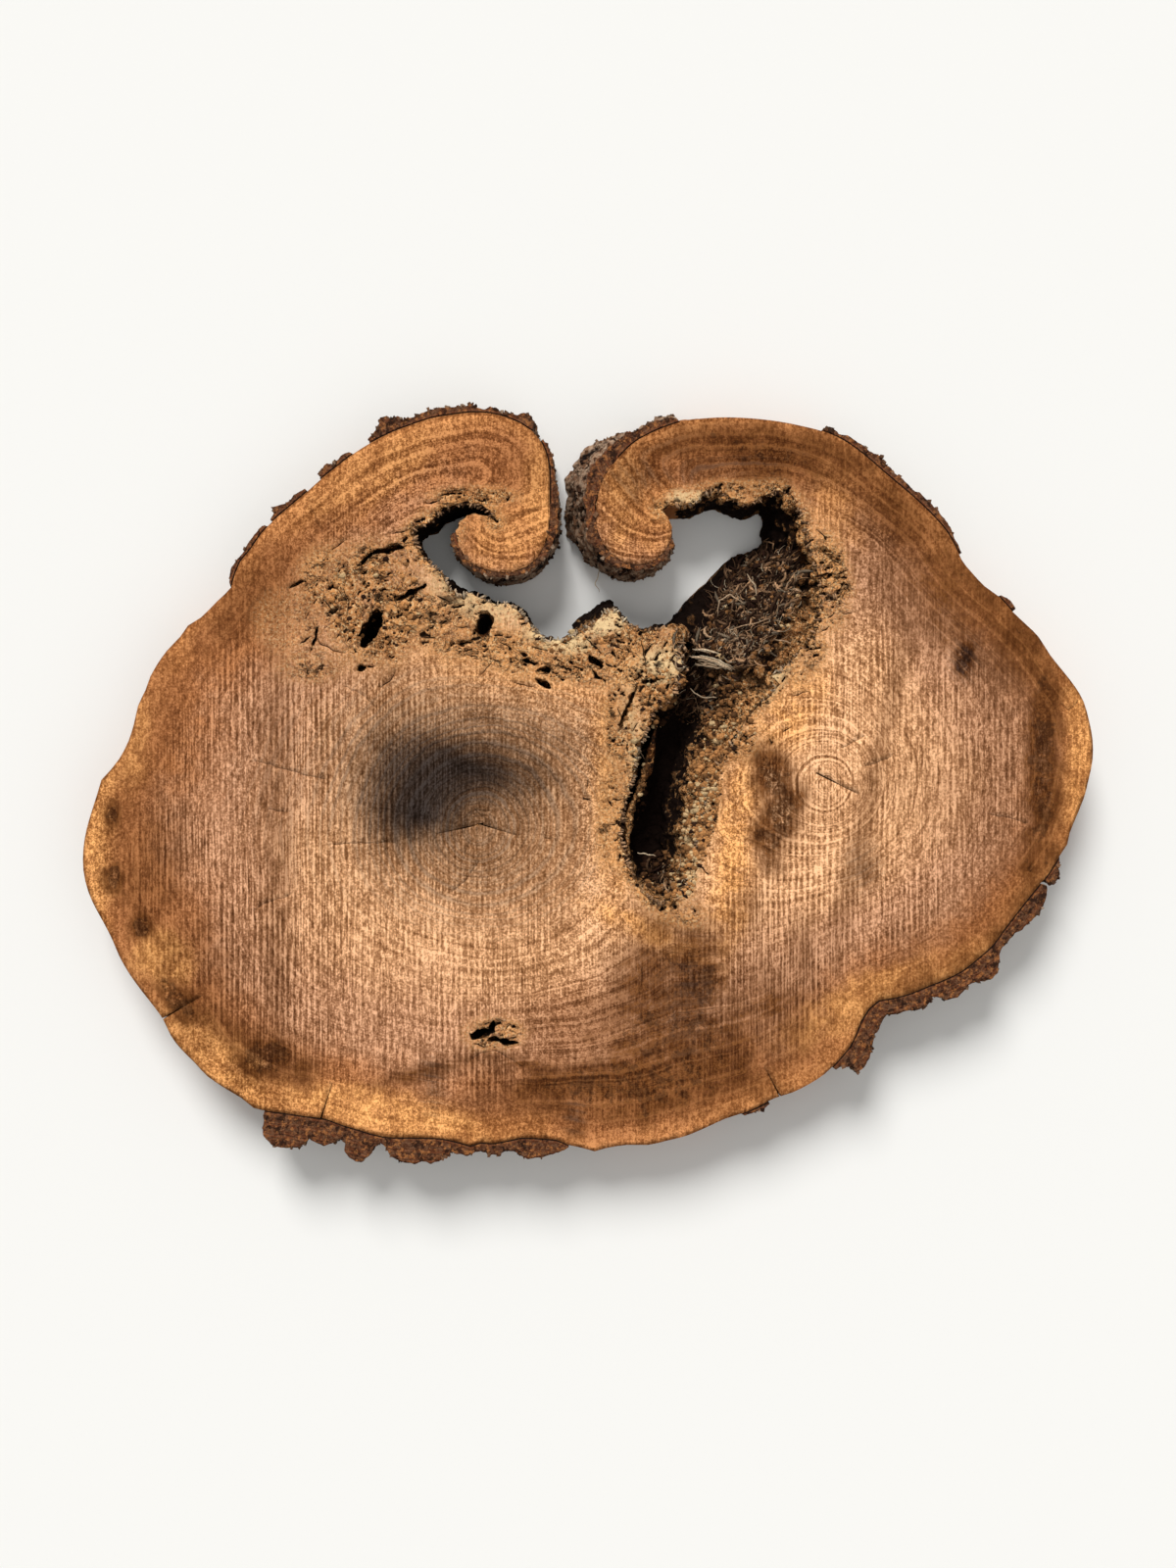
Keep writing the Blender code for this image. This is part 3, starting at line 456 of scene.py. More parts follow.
def fill_flat(body, height, inside, points, lines=()):
    """Fills the open outline at one height with triangles through the given inner points and along the
    given lines of points, and returns the vertices made at each line's points."""
    border = open_edges(body, height)
    corners = list(dict.fromkeys(v for e in border for v in e.verts))
    index = {v: i for i, v in enumerate(corners)}
    flat = [v.co.xy.copy() for v in corners]
    edges = [(index[e.verts[0]], index[e.verts[1]]) for e in border]
    starts = []
    for line in lines:
        starts.append(len(flat))
        flat += line
        edges += [(starts[-1] + i, starts[-1] + i + 1) for i in range(len(line) - 1)]
    flat += points
    found, _, faces, origins, _, _ = geometry.delaunay_2d_cdt(flat, edges, [], 0, 1e-7, True)
    made = [None] * len(found)
    place_of = {}
    for i, origin in enumerate(origins):
        for o in origin:
            place_of[o] = i
            if o < len(corners):
                made[i] = corners[o]
    for face in faces:
        middle = sum((found[i] for i in face), Vector((0, 0))) / 3
        if not inside(middle):
            continue
        triangle = []
        for i in face:
            if made[i] is None:
                made[i] = body.verts.new((*found[i], height))
            triangle.append(made[i])
        if len(set(triangle)) == 3:
            body.faces.new(triangle if height > 0 else triangle[::-1])
    return [
        [made[place_of[start + i]] if start + i in place_of else None for i in range(len(line))]
        for start, line in zip(starts, lines)
    ]


def grid_points(spacing, low, high, seed):
    """Points of a triangular grid between two corners, each a little astray."""
    chance = random.Random(seed)
    rows = int((high.y - low.y) / (spacing * 0.87))
    columns = int((high.x - low.x) / spacing)
    return [
        Vector((
            low.x + (c + 0.5 * (r % 2) + chance.uniform(-STRAY, STRAY)) * spacing,
            low.y + (r + chance.uniform(-STRAY, STRAY)) * spacing * 0.87,
        ))
        for r in range(rows) for c in range(columns)
    ]


def groove_lines(points, half, seed):
    """A groove's middle line and the lines along its two sides, each with uneven steps."""
    knots = [Vector(p) * MM for p in points]
    line = []
    for a, b in zip(knots, knots[1:]):
        steps = max(1, round((b - a).length / (3 * MM)))
        line += [a.lerp(b, i / steps) for i in range(steps)]
    line.append(knots[-1])
    last = len(line) - 1
    found = []
    for i, p in enumerate(line):
        along = (line[min(i + 1, last)] - line[max(i - 1, 0)]).normalized()
        across = Vector((-along.y, along.x))
        p = p + across * noise.noise(Vector((p.x * 130, p.y * 130, seed))) * 1.6 * MM
        taper = (0.25 + 0.75 * math.sin(math.pi * (i + 0.5) / (last + 1))) * half * MM
        wide = [taper * (1 + 0.7 * noise.noise(Vector((p.x * 240, p.y * 240, seed + s)))) for s in (5, 9)]
        found.append((p, p - across * wide[0], p + across * wide[1]))
    return found


def turn(a, b):
    return a[..., 0] * b[..., 1] - a[..., 1] * b[..., 0]


def clear_stretches(rows, border, inside):
    """The stretches of a groove whose lines stay on the face and cross none of its border's edges."""
    a, b = border
    stretches, here = [], []
    for i, row in enumerate(rows):
        fine = all(inside(p) for p in row)
        if fine and here:
            for p, q in zip(rows[i - 1], row):
                step = np.array(q - p)
                side_p, side_q = turn(b - a, np.array(p) - a), turn(b - a, np.array(q) - a)
                side_a, side_b = turn(step, a - np.array(p)), turn(step, b - np.array(p))
                if np.any((side_p * side_q < 0) & (side_a * side_b < 0)):
                    fine = False
        if fine:
            here.append(row)
        else:
            if len(here) > 1:
                stretches.append(here)
            here = []
    if len(here) > 1:
        stretches.append(here)
    return stretches


def rough(point, size, seed):
    return noise.noise(Vector((point.x / size, point.y / size, point.z / size + seed)))


def grain_place(point, seed):
    """A place measured along and across the rings, so that decay follows them."""
    heart = min((LEFT_HEART, RIGHT_HEART), key=lambda h: (point.xy - Vector(h) * MM).length)
    away = point.xy - Vector(heart) * MM
    reach = away.length
    return Vector((reach / (4.6 * MM), math.atan2(away.y, away.x) * reach / (11 * MM), seed))


def flat_noise(places, scale, seed):
    return np.array([noise.noise(Vector((x * scale, y * scale, seed))) for x, y in places])


def clamped(value):
    return min(1.0, max(0.0, value))


def smooth_step(low, high, value):
    share = clamped((value - low) / (high - low))
    return share * share * (3 - 2 * share)


def is_front(height):
    return height > THICKNESS - SAME


def is_back(height):
    return height < SAME


def tree_of(places):
    """A search tree of the places, seen from above."""
    places = list(places)
    tree = KDTree(len(places))
    for i, p in enumerate(places):
        tree.insert((p[0], p[1], 0), i)
    tree.balance()
    return tree


def finished_mesh(name, body, sharp_angle):
    mesh = bpy.data.meshes.new(name)
    body.to_mesh(mesh)
    body.free()
    mesh.shade_smooth()
    mesh.set_sharp_from_angle(angle=math.radians(sharp_angle))
    return mesh


def write_channels(mesh, name, *channels):
    """Stores up to three numbers a point as one colour attribute."""
    data = np.ones((len(mesh.vertices), 4), np.float32)
    for i, channel in enumerate(channels):
        data[:, i] = channel
    layer = mesh.color_attributes.new(name, "FLOAT_COLOR", "POINT")
    layer.data.foreach_set("color", data.ravel())


def new_piece(name, mesh, material):
    piece = bpy.data.objects.new(name, mesh)
    bpy.context.scene.collection.objects.link(piece)
    mesh.materials.clear()
    mesh.materials.append(material)
    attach(piece, "root")
    return piece


class Value:
    """A shader socket that plain arithmetic adds Math nodes to."""

    def __init__(self, graph, socket):
        self.graph, self.socket = graph, socket

    def __add__(self, other):
        return self.graph.maths("ADD", self, other)

    def __mul__(self, other):
        return self.graph.maths("MULTIPLY", self, other)

    def __sub__(self, other):
        return self.graph.maths("SUBTRACT", self, other)

    def __rsub__(self, other):
        return self.graph.maths("SUBTRACT", other, self)

    __radd__, __rmul__ = __add__, __mul__


class Graph:
    """Short names for the shader nodes that the materials use."""

    def __init__(self, name):
        self.material = bpy.data.materials.new(name)
        self.material.use_nodes = True
        self.tree = self.material.node_tree
        self.shader = self.tree.nodes["Principled BSDF"]
        self.place = Value(self, self.add("ShaderNodeTexCoord").outputs["Object"])

    def add(self, kind, inputs=(), **settings):
        """Adds a node; inputs maps the names or numbers of its sockets to what goes into them."""
        made = self.tree.nodes.new(kind)
        for key, value in settings.items():
            setattr(made, key, value)
        for key, value in dict(inputs).items():
            self.feed(made.inputs[key], value)
        return made

    def feed(self, socket, value):
        if isinstance(value, Value):
            self.tree.links.new(value.socket, socket)
        else:
            socket.default_value = (*value, 1) if socket.type == "RGBA" and len(value) == 3 else value

    def maths(self, operation, *values):
        return Value(self, self.add("ShaderNodeMath", enumerate(values), operation=operation).outputs[0])

    def larger(self, a, b):
        return self.maths("MAXIMUM", a, b)

    def smaller(self, a, b):
        return self.maths("MINIMUM", a, b)

    def over(self, value, low, high, out_low=0.0, out_high=1.0):
        """Maps low to high smoothly onto out_low to out_high."""
        ends = {"From Min": low, "From Max": high, "To Min": out_low, "To Max": out_high}
        made = self.add("ShaderNodeMapRange", {"Value": value, **ends}, interpolation_type="SMOOTHSTEP")
        return Value(self, made.outputs[0])

    def swing(self, value, reach):
        """Maps the middle of a noise's range onto -1 to 1."""
        return self.over(value, 0.5 - reach, 0.5 + reach, -1, 1)

    def mix(self, share, a, b, blend="MIX"):
        made = self.add("ShaderNodeMix", {0: share, 6: a, 7: b}, data_type="RGBA", blend_type=blend)
        return Value(self, made.outputs[2])

    def coats(self, base, *coats):
        """A base colour with coats over it, each a share and a colour."""
        for share, colour in coats:
            base = self.mix(share, base, colour)
        return base

    def deepened(self, tone):
        """A factor that darkens or lightens wood by a tone, more in blue than in red, as wood does."""
        shares = [self.maths("POWER", math.e, tone * share) for share in (1.0, 1.2, 1.42)]
        return Value(self, self.add("ShaderNodeCombineColor", enumerate(shares)).outputs[0])

    def noise(self, scale, detail, roughness=0.5, distortion=0.0, stretch=None):
        place = self.place
        if stretch:
            mapping = self.add("ShaderNodeMapping", {"Vector": place, "Scale": stretch})
            place = Value(self, mapping.outputs[0])
        made = self.add("ShaderNodeTexNoise", {
            "Vector": place, "Scale": scale, "Detail": detail, "Roughness": roughness,
            "Distortion": distortion,
        })
        return Value(self, made.outputs["Fac"])

    def line_noise(self, along, scale, detail, roughness):
        """Noise that changes along one number only."""
        made = self.add("ShaderNodeTexNoise", noise_dimensions="1D")
        for key, value in (("W", along), ("Scale", scale), ("Detail", detail), ("Roughness", roughness)):
            self.feed(made.inputs[key], value)
        return Value(self, made.outputs["Fac"])

    def channels(self, name):
        """The numbers that write_channels stored."""
        read = self.add("ShaderNodeAttribute", attribute_name=name).outputs["Color"]
        split = self.add("ShaderNodeSeparateColor", {0: Value(self, read)})
        return [Value(self, socket) for socket in split.outputs]

    def finish(self, colour, roughness, height, strength, distance, specular):
        bump = self.add("ShaderNodeBump", {"Strength": strength, "Distance": distance, "Height": height})
        for key, value in (
            ("Base Color", colour), ("Roughness", roughness), ("Specular IOR Level", specular),
            ("Normal", Value(self, bump.outputs[0])),
        ):
            self.feed(self.shader.inputs[key], value)
        return self.material


def wood_material(sizes, colours):
    """Sawn walnut with rings, saw marks, stains and decay, and the rough walls of the hollow."""
    g = Graph("sawn_walnut")
    x = Value(g, g.add("ShaderNodeSeparateXYZ", {0: g.place}).outputs[0])
    age, off, sawn = g.channels("growth")
    rot, relief_shading, depth = g.channels("decay")
    stain, brown, gold = g.channels("marks")
    crack, pale, crumbly = g.channels("cracks")
    curled, sandy, rusty = g.channels("feel")

    # Growth rings, which follow the age.
    phase = age * float(sizes.ring_count)
    phase += g.noise(9, 3, 0.55) * 1.6
    phase += g.noise(70, 3, 0.6) * 0.35
    bands = g.line_noise(phase, 1.5, 3, 0.7)
    clear = g.larger(g.over(age, 0.62, 0.15, 0.6, 1.5), curled * 1.6)
    rings = g.swing(bands, 0.14) * clear
    thin = g.over(g.maths("SINE", phase * (2 * math.pi * 1.15)), 0.55, 0.95)
    thin *= g.over(g.line_noise(phase, 0.9, 2, 0.6), 0.4, 0.6, 0.15, 1)
    ring_lines = g.larger(thin, g.over(g.line_noise(phase, 2.4, 2, 0.6), 0.54, 0.68)) * clear
    light_rings = g.over(g.line_noise(phase, 1.3, 2, 0.6), 0.55, 0.67)

    # Saw marks, coarse and fine, and the tears between them.
    wander = g.noise(3, 2) * 8.0 + bands
    wander += g.noise(1.0, 2, 0.6, stretch=(55, 5, 1)) * 6.0
    coarse_saw = g.maths("SINE", x * (2 * math.pi / sizes.saw_pitch) + wander)
    fine_saw = g.maths("SINE", x * (3.7 * math.pi / sizes.saw_pitch) + wander * 1.7)
    finer = g.over(g.noise(11, 3, 0.6, stretch=(1.4, 0.5, 1)), 0.42, 0.62, 0.1, 0.75)
    saw = (coarse_saw * (1.0 - finer) + fine_saw * finer) * 1.15
    saw_patch = g.over(g.noise(7, 3, 0.6, stretch=(1.6, 0.7, 1)), 0.35, 0.65, 0.3, 1)
    saw_lines = g.over(saw, 0.3, -0.9) * saw_patch
    saw_crests = g.over(saw, 0.2, 0.95) * saw_patch
    streaks = g.swing(g.noise(1.0, 3, 0.65, stretch=(260, 22, 40)), 0.12)
    teeth = g.swing(g.noise(1.0, 3, 0.75, stretch=(520, 130, 60)), 0.12)
    passes = g.swing(g.noise(1.0, 2, 0.5, stretch=(13, 0.8, 1)), 0.15)

    grain = g.swing(g.noise(400, 3, 0.75), 0.14)
    pores = g.swing(g.noise(1.0, 3, 0.7, stretch=(240, 150, 150)), 0.14)
    mottle = g.swing(g.noise(42, 4, 0.65), 0.18)
    cloud = g.swing(g.noise(8, 3, 0.6), 0.2)

    # The colour of sound wood, from the hearts outwards, with its marks and stains.
    aged = age + cloud * 0.05
    near_edge = off + mottle * 0.06 + cloud * 0.16
    fresh = g.over(off, 0.05, 0.015, 0, 0.6)
    patchy = bands * 0.5 + g.noise(22, 4, 0.7) * 0.8 + grain * 0.12
    granular = g.over(g.noise(150, 4, 0.8) + g.over(brown, 0.9, 1.5) * 0.03, 0.43, 0.55, 0.15, 1)
    blotchy = g.over(patchy, 0.45, 0.85, 0.55, 1.2)
    blotchy *= 1.0 + g.over(brown, 1.15, 1.4) * (granular - 1.0)
    crisp = brown + (g.noise(60, 4, 0.75) - 0.5) * 2.0
    arcs = g.over(bands + streaks * 0.05, 0.36, 0.64, 1.7, 0.55)
    wood = g.coats(
        colours.heart,
        (g.over(aged, 0.4, 0.68), colours.middle),
        (g.over(aged + mottle * 0.03, 0.68, 0.94), colours.outer),
        (g.over(near_edge, 0.4, 0.05, 0, 0.8), colours.sapwood),
        (rusty * g.over(mottle, -1.0, 1.0, 1.0, 0.75), colours.outer),
        (gold * g.over(mottle, -1.2, 0.6, 0.5, 1), colours.gold),
        (g.smaller(g.larger(brown, fresh) * blotchy, 0.97), colours.brown),
        (g.over(crisp, 1.1, 1.3, 0, 0.45), colours.deep),
        (g.maths("POWER", g.larger(stain, 0.0), arcs) * 0.975, colours.stain),
    )

    # Its tone: saw marks where it is clean, with painted light on their crests and painted shade in their
    # lines, rings, and grit where it is curled or sandy.
    sound = 1.0 - rot * 0.85
    faint = g.larger(curled * 0.75, sandy * 0.6)
    faint = g.larger(faint, rusty * 0.5)
    faint = g.larger(faint, g.over(off + cloud * 0.1, 0.85, 0.35, 0, 0.7))
    busy = g.over(age, 0.2, 0.6, 0.85, 1.3) * (1.0 - faint)
    # Painted light and shade: the saw marks' crests are lightened and their lines darkened, on top of their
    # bump.
    lines = saw_crests * 0.32 - saw_lines * 0.42 + saw_lines * rings * 0.26
    lines += streaks * 0.24 + teeth * 0.22
    near_heart = g.over(age, 0.5, 0.1, 0, 0.32) * g.over(x, 0.1, 0.24, 0.4, 1)
    tone = lines * busy + rings * (curled * 0.06 + 0.15)
    tone += light_rings * g.larger(g.over(brown, 0.3, 1.0, 0, 0.5), near_heart)
    tone += passes * 0.12 - ring_lines * 0.22
    gritty = curled * 0.16 + sandy * 0.24 + 0.4
    tone = tone * sound + grain * gritty + pores * gritty * 0.55 + mottle * 0.16 + cloud * 0.12
    wood = g.mix(1.0, wood, g.deepened(g.smaller(tone + 0.1, 0.65)), "MULTIPLY")

    # Crumbly decayed wood, with specks, caves, pits and cracks painted black as painted shade in its dents
    # and grooves.
    crumbs = g.noise(210, 4, 0.8)
    lumps = g.noise(80, 4, 0.7)
    chunks = g.noise(48, 5, 0.75, distortion=0.6)
    worn = g.over(g.noise(20, 3, 0.6), 0.44, 0.62)
    veins = g.over(g.maths("ABSOLUTE", chunks - 0.5), 0.026, 0.01, 0, 0.95)
    rotten = g.coats(
        colours.brown,
        (g.over(crumbs - worn * 0.06, 0.335, 0.435), colours.rot),
        (worn * 0.4, colours.outer),
        (g.over(g.noise(330, 3, 0.7), 0.5, 0.62, 0, 0.75), colours.rot_pale),
        (g.over(g.noise(250, 3, 0.7), 0.48, 0.38, 0, 0.7), colours.brown),
        (g.over(lumps, 0.6, 0.68, 0, 0.8), colours.brown),
        (veins * g.over(rot, 0.4, 0.8), colours.deep),
    )
    sparse = g.over(g.noise(24, 2, 0.5), 0.4, 0.6)
    caves = g.noise(1.0, 5, 0.75, stretch=(40, 74, 60))
    painted_pit_shade = g.over(crumbs, 0.41, 0.36) * (sparse * 0.85 + 0.15)
    painted_pit_shade = g.larger(painted_pit_shade, g.over(caves, 0.572, 0.594) * sparse) * g.over(rot, 0.3, 0.85)
    # Painted shade: black in the dents, in the sunken pits and in the slits and cracks.
    dark = g.larger(painted_pit_shade * 0.95, g.over(relief_shading + crumbs * 0.5, 0.74, 0.92, 0, 0.97))
    dark = g.larger(dark, g.over(crack + crumbs * 0.4, 0.5, 0.9, 0, 0.97))
    wood = g.coats(
        wood,
        (rot * 0.95, rotten),
        # The pale rims: bleached wood, with a painted highlight.
        (pale * g.over(crumbs + lumps * 0.4, 0.6, 0.72), colours.rot_pale),
        (dark, colours.deep),
    )

    # The walls of the hollow, painted in shade that darkens with depth to near black, with painted light on
    # the ledges that stand out, and the debarked outer edge.
    fibres = g.noise(1.0, 4, 0.7, stretch=(160, 160, 14))
    shreds = g.over(g.noise(120, 4, 0.8, distortion=1.5), 0.56, 0.64)
    tan_wall = g.mix(g.over(crumbs, 0.4, 0.5), colours.deep, rotten)
    # Painted light: parts of the wall that stand out get the lighter tan, fading with depth.
    lit_ledges = g.over(relief_shading + crumbs * 0.3, 0.78, 0.95) * g.over(depth, 0.9, 0.1, 0.1, 0.85)
    clumps = chunks + crumbs * 0.35 - depth * 0.4
    wall = g.coats(
        colours.deep,
        (g.over(chunks, 0.5, 0.62) * g.over(depth, 0.36, 0.04, 0, 0.9), colours.brown),
        (shreds * g.over(depth, 0.32, 0.03, 0, 0.85), colours.rot),
        (lit_ledges, g.mix(0.35, tan_wall, colours.brown)),
        (g.over(depth + lumps * 0.2, 0.2, 0.12), tan_wall),
        (crumbly * g.over(clumps, 0.48, 0.56), tan_wall),
    )
    side = g.coats(
        colours.outer,
        (g.over(fibres, 0.3, 0.7), colours.sapwood),
        (g.over(g.noise(1.0, 3, 0.6, stretch=(30, 30, 5)), 0.45, 0.7, 0, 0.75), colours.brown),
        (g.over(depth, 0.0, 0.02), wall),
    )

    rough_side = 1.0 - sawn
    height = (saw_crests - saw_lines) * 0.3 + rings * 0.12 + teeth * 0.15 + streaks * 0.15
    height = height * sound * sawn + grain * 0.15
    height += (crumbs + lumps) * 2.4 * (rot + rough_side * 0.8)
    height += fibres * rough_side * 1.5 - painted_pit_shade * 2.5
    roughness = g.over(grain, -1, 1, 0.72, 0.92)
    return g.finish(g.mix(sawn, side, wood), roughness, height, 1.0, 0.7 * MM, 0.04)


def bark_material(colours):
    """Layered cut face and weathered, furrowed outside."""
    g = Graph("walnut_bark")
    off, cut, high = g.channels("bark")
    layers = g.over(g.line_noise(off * 420.0 + g.noise(60, 3, 0.6) * 3.0, 0.55, 3, 0.7), 0.4, 0.62)
    patches = g.noise(110, 4, 0.75)
    face = g.coats(
        colours.bark_furrow,
        (layers * 0.8 + 0.2, colours.bark_cut),
        (g.over(g.noise(260, 4, 0.8), 0.42, 0.62) * 0.6, colours.bark_plate),
        (g.over(g.noise(170, 3, 0.7), 0.52, 0.62, 0, 0.7), colours.sapwood),
        (g.over(patches, 0.53, 0.6, 0, 0.92), colours.bark_furrow),
        (g.over(off, 0.0026, 0.0012), colours.deep),
    )
    plates = g.noise(1.0, 5, 0.75, stretch=(90, 90, 34))
    outside = g.coats(
        colours.bark_furrow,
        (g.over(plates, 0.4, 0.6), colours.bark_plate),
        (g.over(patches, 0.42, 0.6, 0, 0.85), colours.bark_grey),
        # Painted shade: the low points between the bark's ridges are darkened to near black.
        (g.over(high, 0.5, 0.3), colours.deep),
    )
    height = plates * 2.2 + g.noise(300, 4, 0.8) * 1.2 + layers * cut * 0.6
    return g.finish(g.mix(cut, outside, face), 0.85, height, 1.0, 1.4 * MM, 0.06)


def shred_material(name, dark, middle, light):
    """Loose shreds and chips, each of its own shade; for the fibres and crumbs this shade also holds
    painted shade that deepens down the hollow.
    """
    g = Graph(name)
    shade, pale, _ = g.channels("shade")
    streak = g.over(g.noise(600, 3, 0.75), 0.4, 0.6)
    colour = g.coats(dark, (shade, middle), (pale, light), (streak * 0.45, dark))
    return g.finish(colour, 0.85, streak, 0.8, 0.5 * MM, 0.06)


def grooves_on_face(body, on_front):
    """The lines of the slits and cracks, three to a groove, and each groove's depth and half width."""
    ends = open_edges(body, THICKNESS)
    ends = tuple(np.array([e.verts[k].co[:2] for e in ends]) for k in (0, 1))
    lines, depths = [], []
    cracks = [(points, CRACK_HALF, CRACK_DEPTH) for points in CRACKS]
    for i, (points, half, deep) in enumerate(SLITS + cracks):
        for rows in clear_stretches(groove_lines(points, half, i), ends, on_front):
            lines += [[row[k] for row in rows] for k in range(3)]
            depths.append((deep * MM, half * MM))
    return lines, depths


def decay_at(places, growth):
    """How decayed the wood is, from the zones and along the hollow's rim, with ragged edges."""
    places = np.array([tuple(p) for p in places])
    zones = zone_strength(places, ROT_ZONES, 0.35)
    band = np.clip(1.2 - growth.nearest(places, growth.hollow) / (14 * MM), 0, 1)
    ragged = flat_noise(places, 28, 1) + 0.6 * flat_noise(places, 90, 6)
    return np.clip(np.maximum(zones, band) * (1 + 0.55 * ragged), 0, 1)


def fray(v, start, share):
    """Shifts a point of a decayed rim sideways, unevenly."""
    v.co.x += share * (rough(start, 9 * MM, 21) * 4.2 + rough(start, 4 * MM, 31) * 2.0) * MM
    v.co.y += share * (rough(start, 9 * MM, 22) * 4.2 + rough(start, 4 * MM, 32) * 2.0) * MM


def sink_front(v, decay, to_rim, pit_depth, frays):
    """Sinks a decayed point of the front face into lumps and pits, and says how much painted shade it gets
    from lying sunk and near the hollow's rim.
    """
    start = v.co.copy()
    where = grain_place(start, 2.0)
    pattern = noise.noise(where) * 0.8 + noise.noise(where * 2.3 + Vector((0, 0, 4))) * 0.5
    opening = smooth_step(0.3, 0.44, pattern) * smooth_step(0.45, 0.85, decay)
    lumps = abs(rough(start, 13 * MM, 8)) * 4.0 + abs(rough(start, 6 * MM, 18)) * 2.4
    v.co.z -= decay ** 3 * (0.2 + lumps) * MM + opening * pit_depth
    if frays:
        fray(v, start, clamped(1.2 - to_rim / (8 * MM)) * smooth_step(0.1, 0.5, decay))
    # Painted shade: the deeper a point has sunk, the darker the shader paints it; near the rim, decay
    # darkens it too.
    dug = (THICKNESS - v.co.z) / (6 * MM)
    return min(1.0, max(dug, decay * (0.66 - to_rim / (5 * MM))))


def roughen_wall(v, decay, depth, crumbly):
    """Moves a point of the hollow's walls in or out in chunks, and says how far out it stands, which the
    shader paints lighter as painted light.
    """
    start = v.co.copy()
    away = min(1.0, (THICKNESS - start.z) / (6 * MM))
    fray(v, start, (1 - 0.7 * away) * smooth_step(0.1, 0.5, decay))
    chunk = rough(start, 14 * MM, 3) * 4.5 + rough(start, 5 * MM, 13) * 3.0
    if start.x > CREVICE_RIGHT:
        swell = abs(rough(start, 17 * MM, 43)) * 20 + abs(rough(start, 7 * MM, 53)) * 10
        chunk += crumbly * swell * clamped(1.15 - 1.3 * depth)
    if start.x > SLOPE_CORNER[0] and start.y > SLOPE_CORNER[1]:
        chunk += (abs(rough(start, 16 * MM, 63)) * 14 + rough(start, 8 * MM, 73) * 7) * (1 - depth)
    v.co += v.normal * chunk * away * MM
    return clamped(0.4 + chunk / 14)


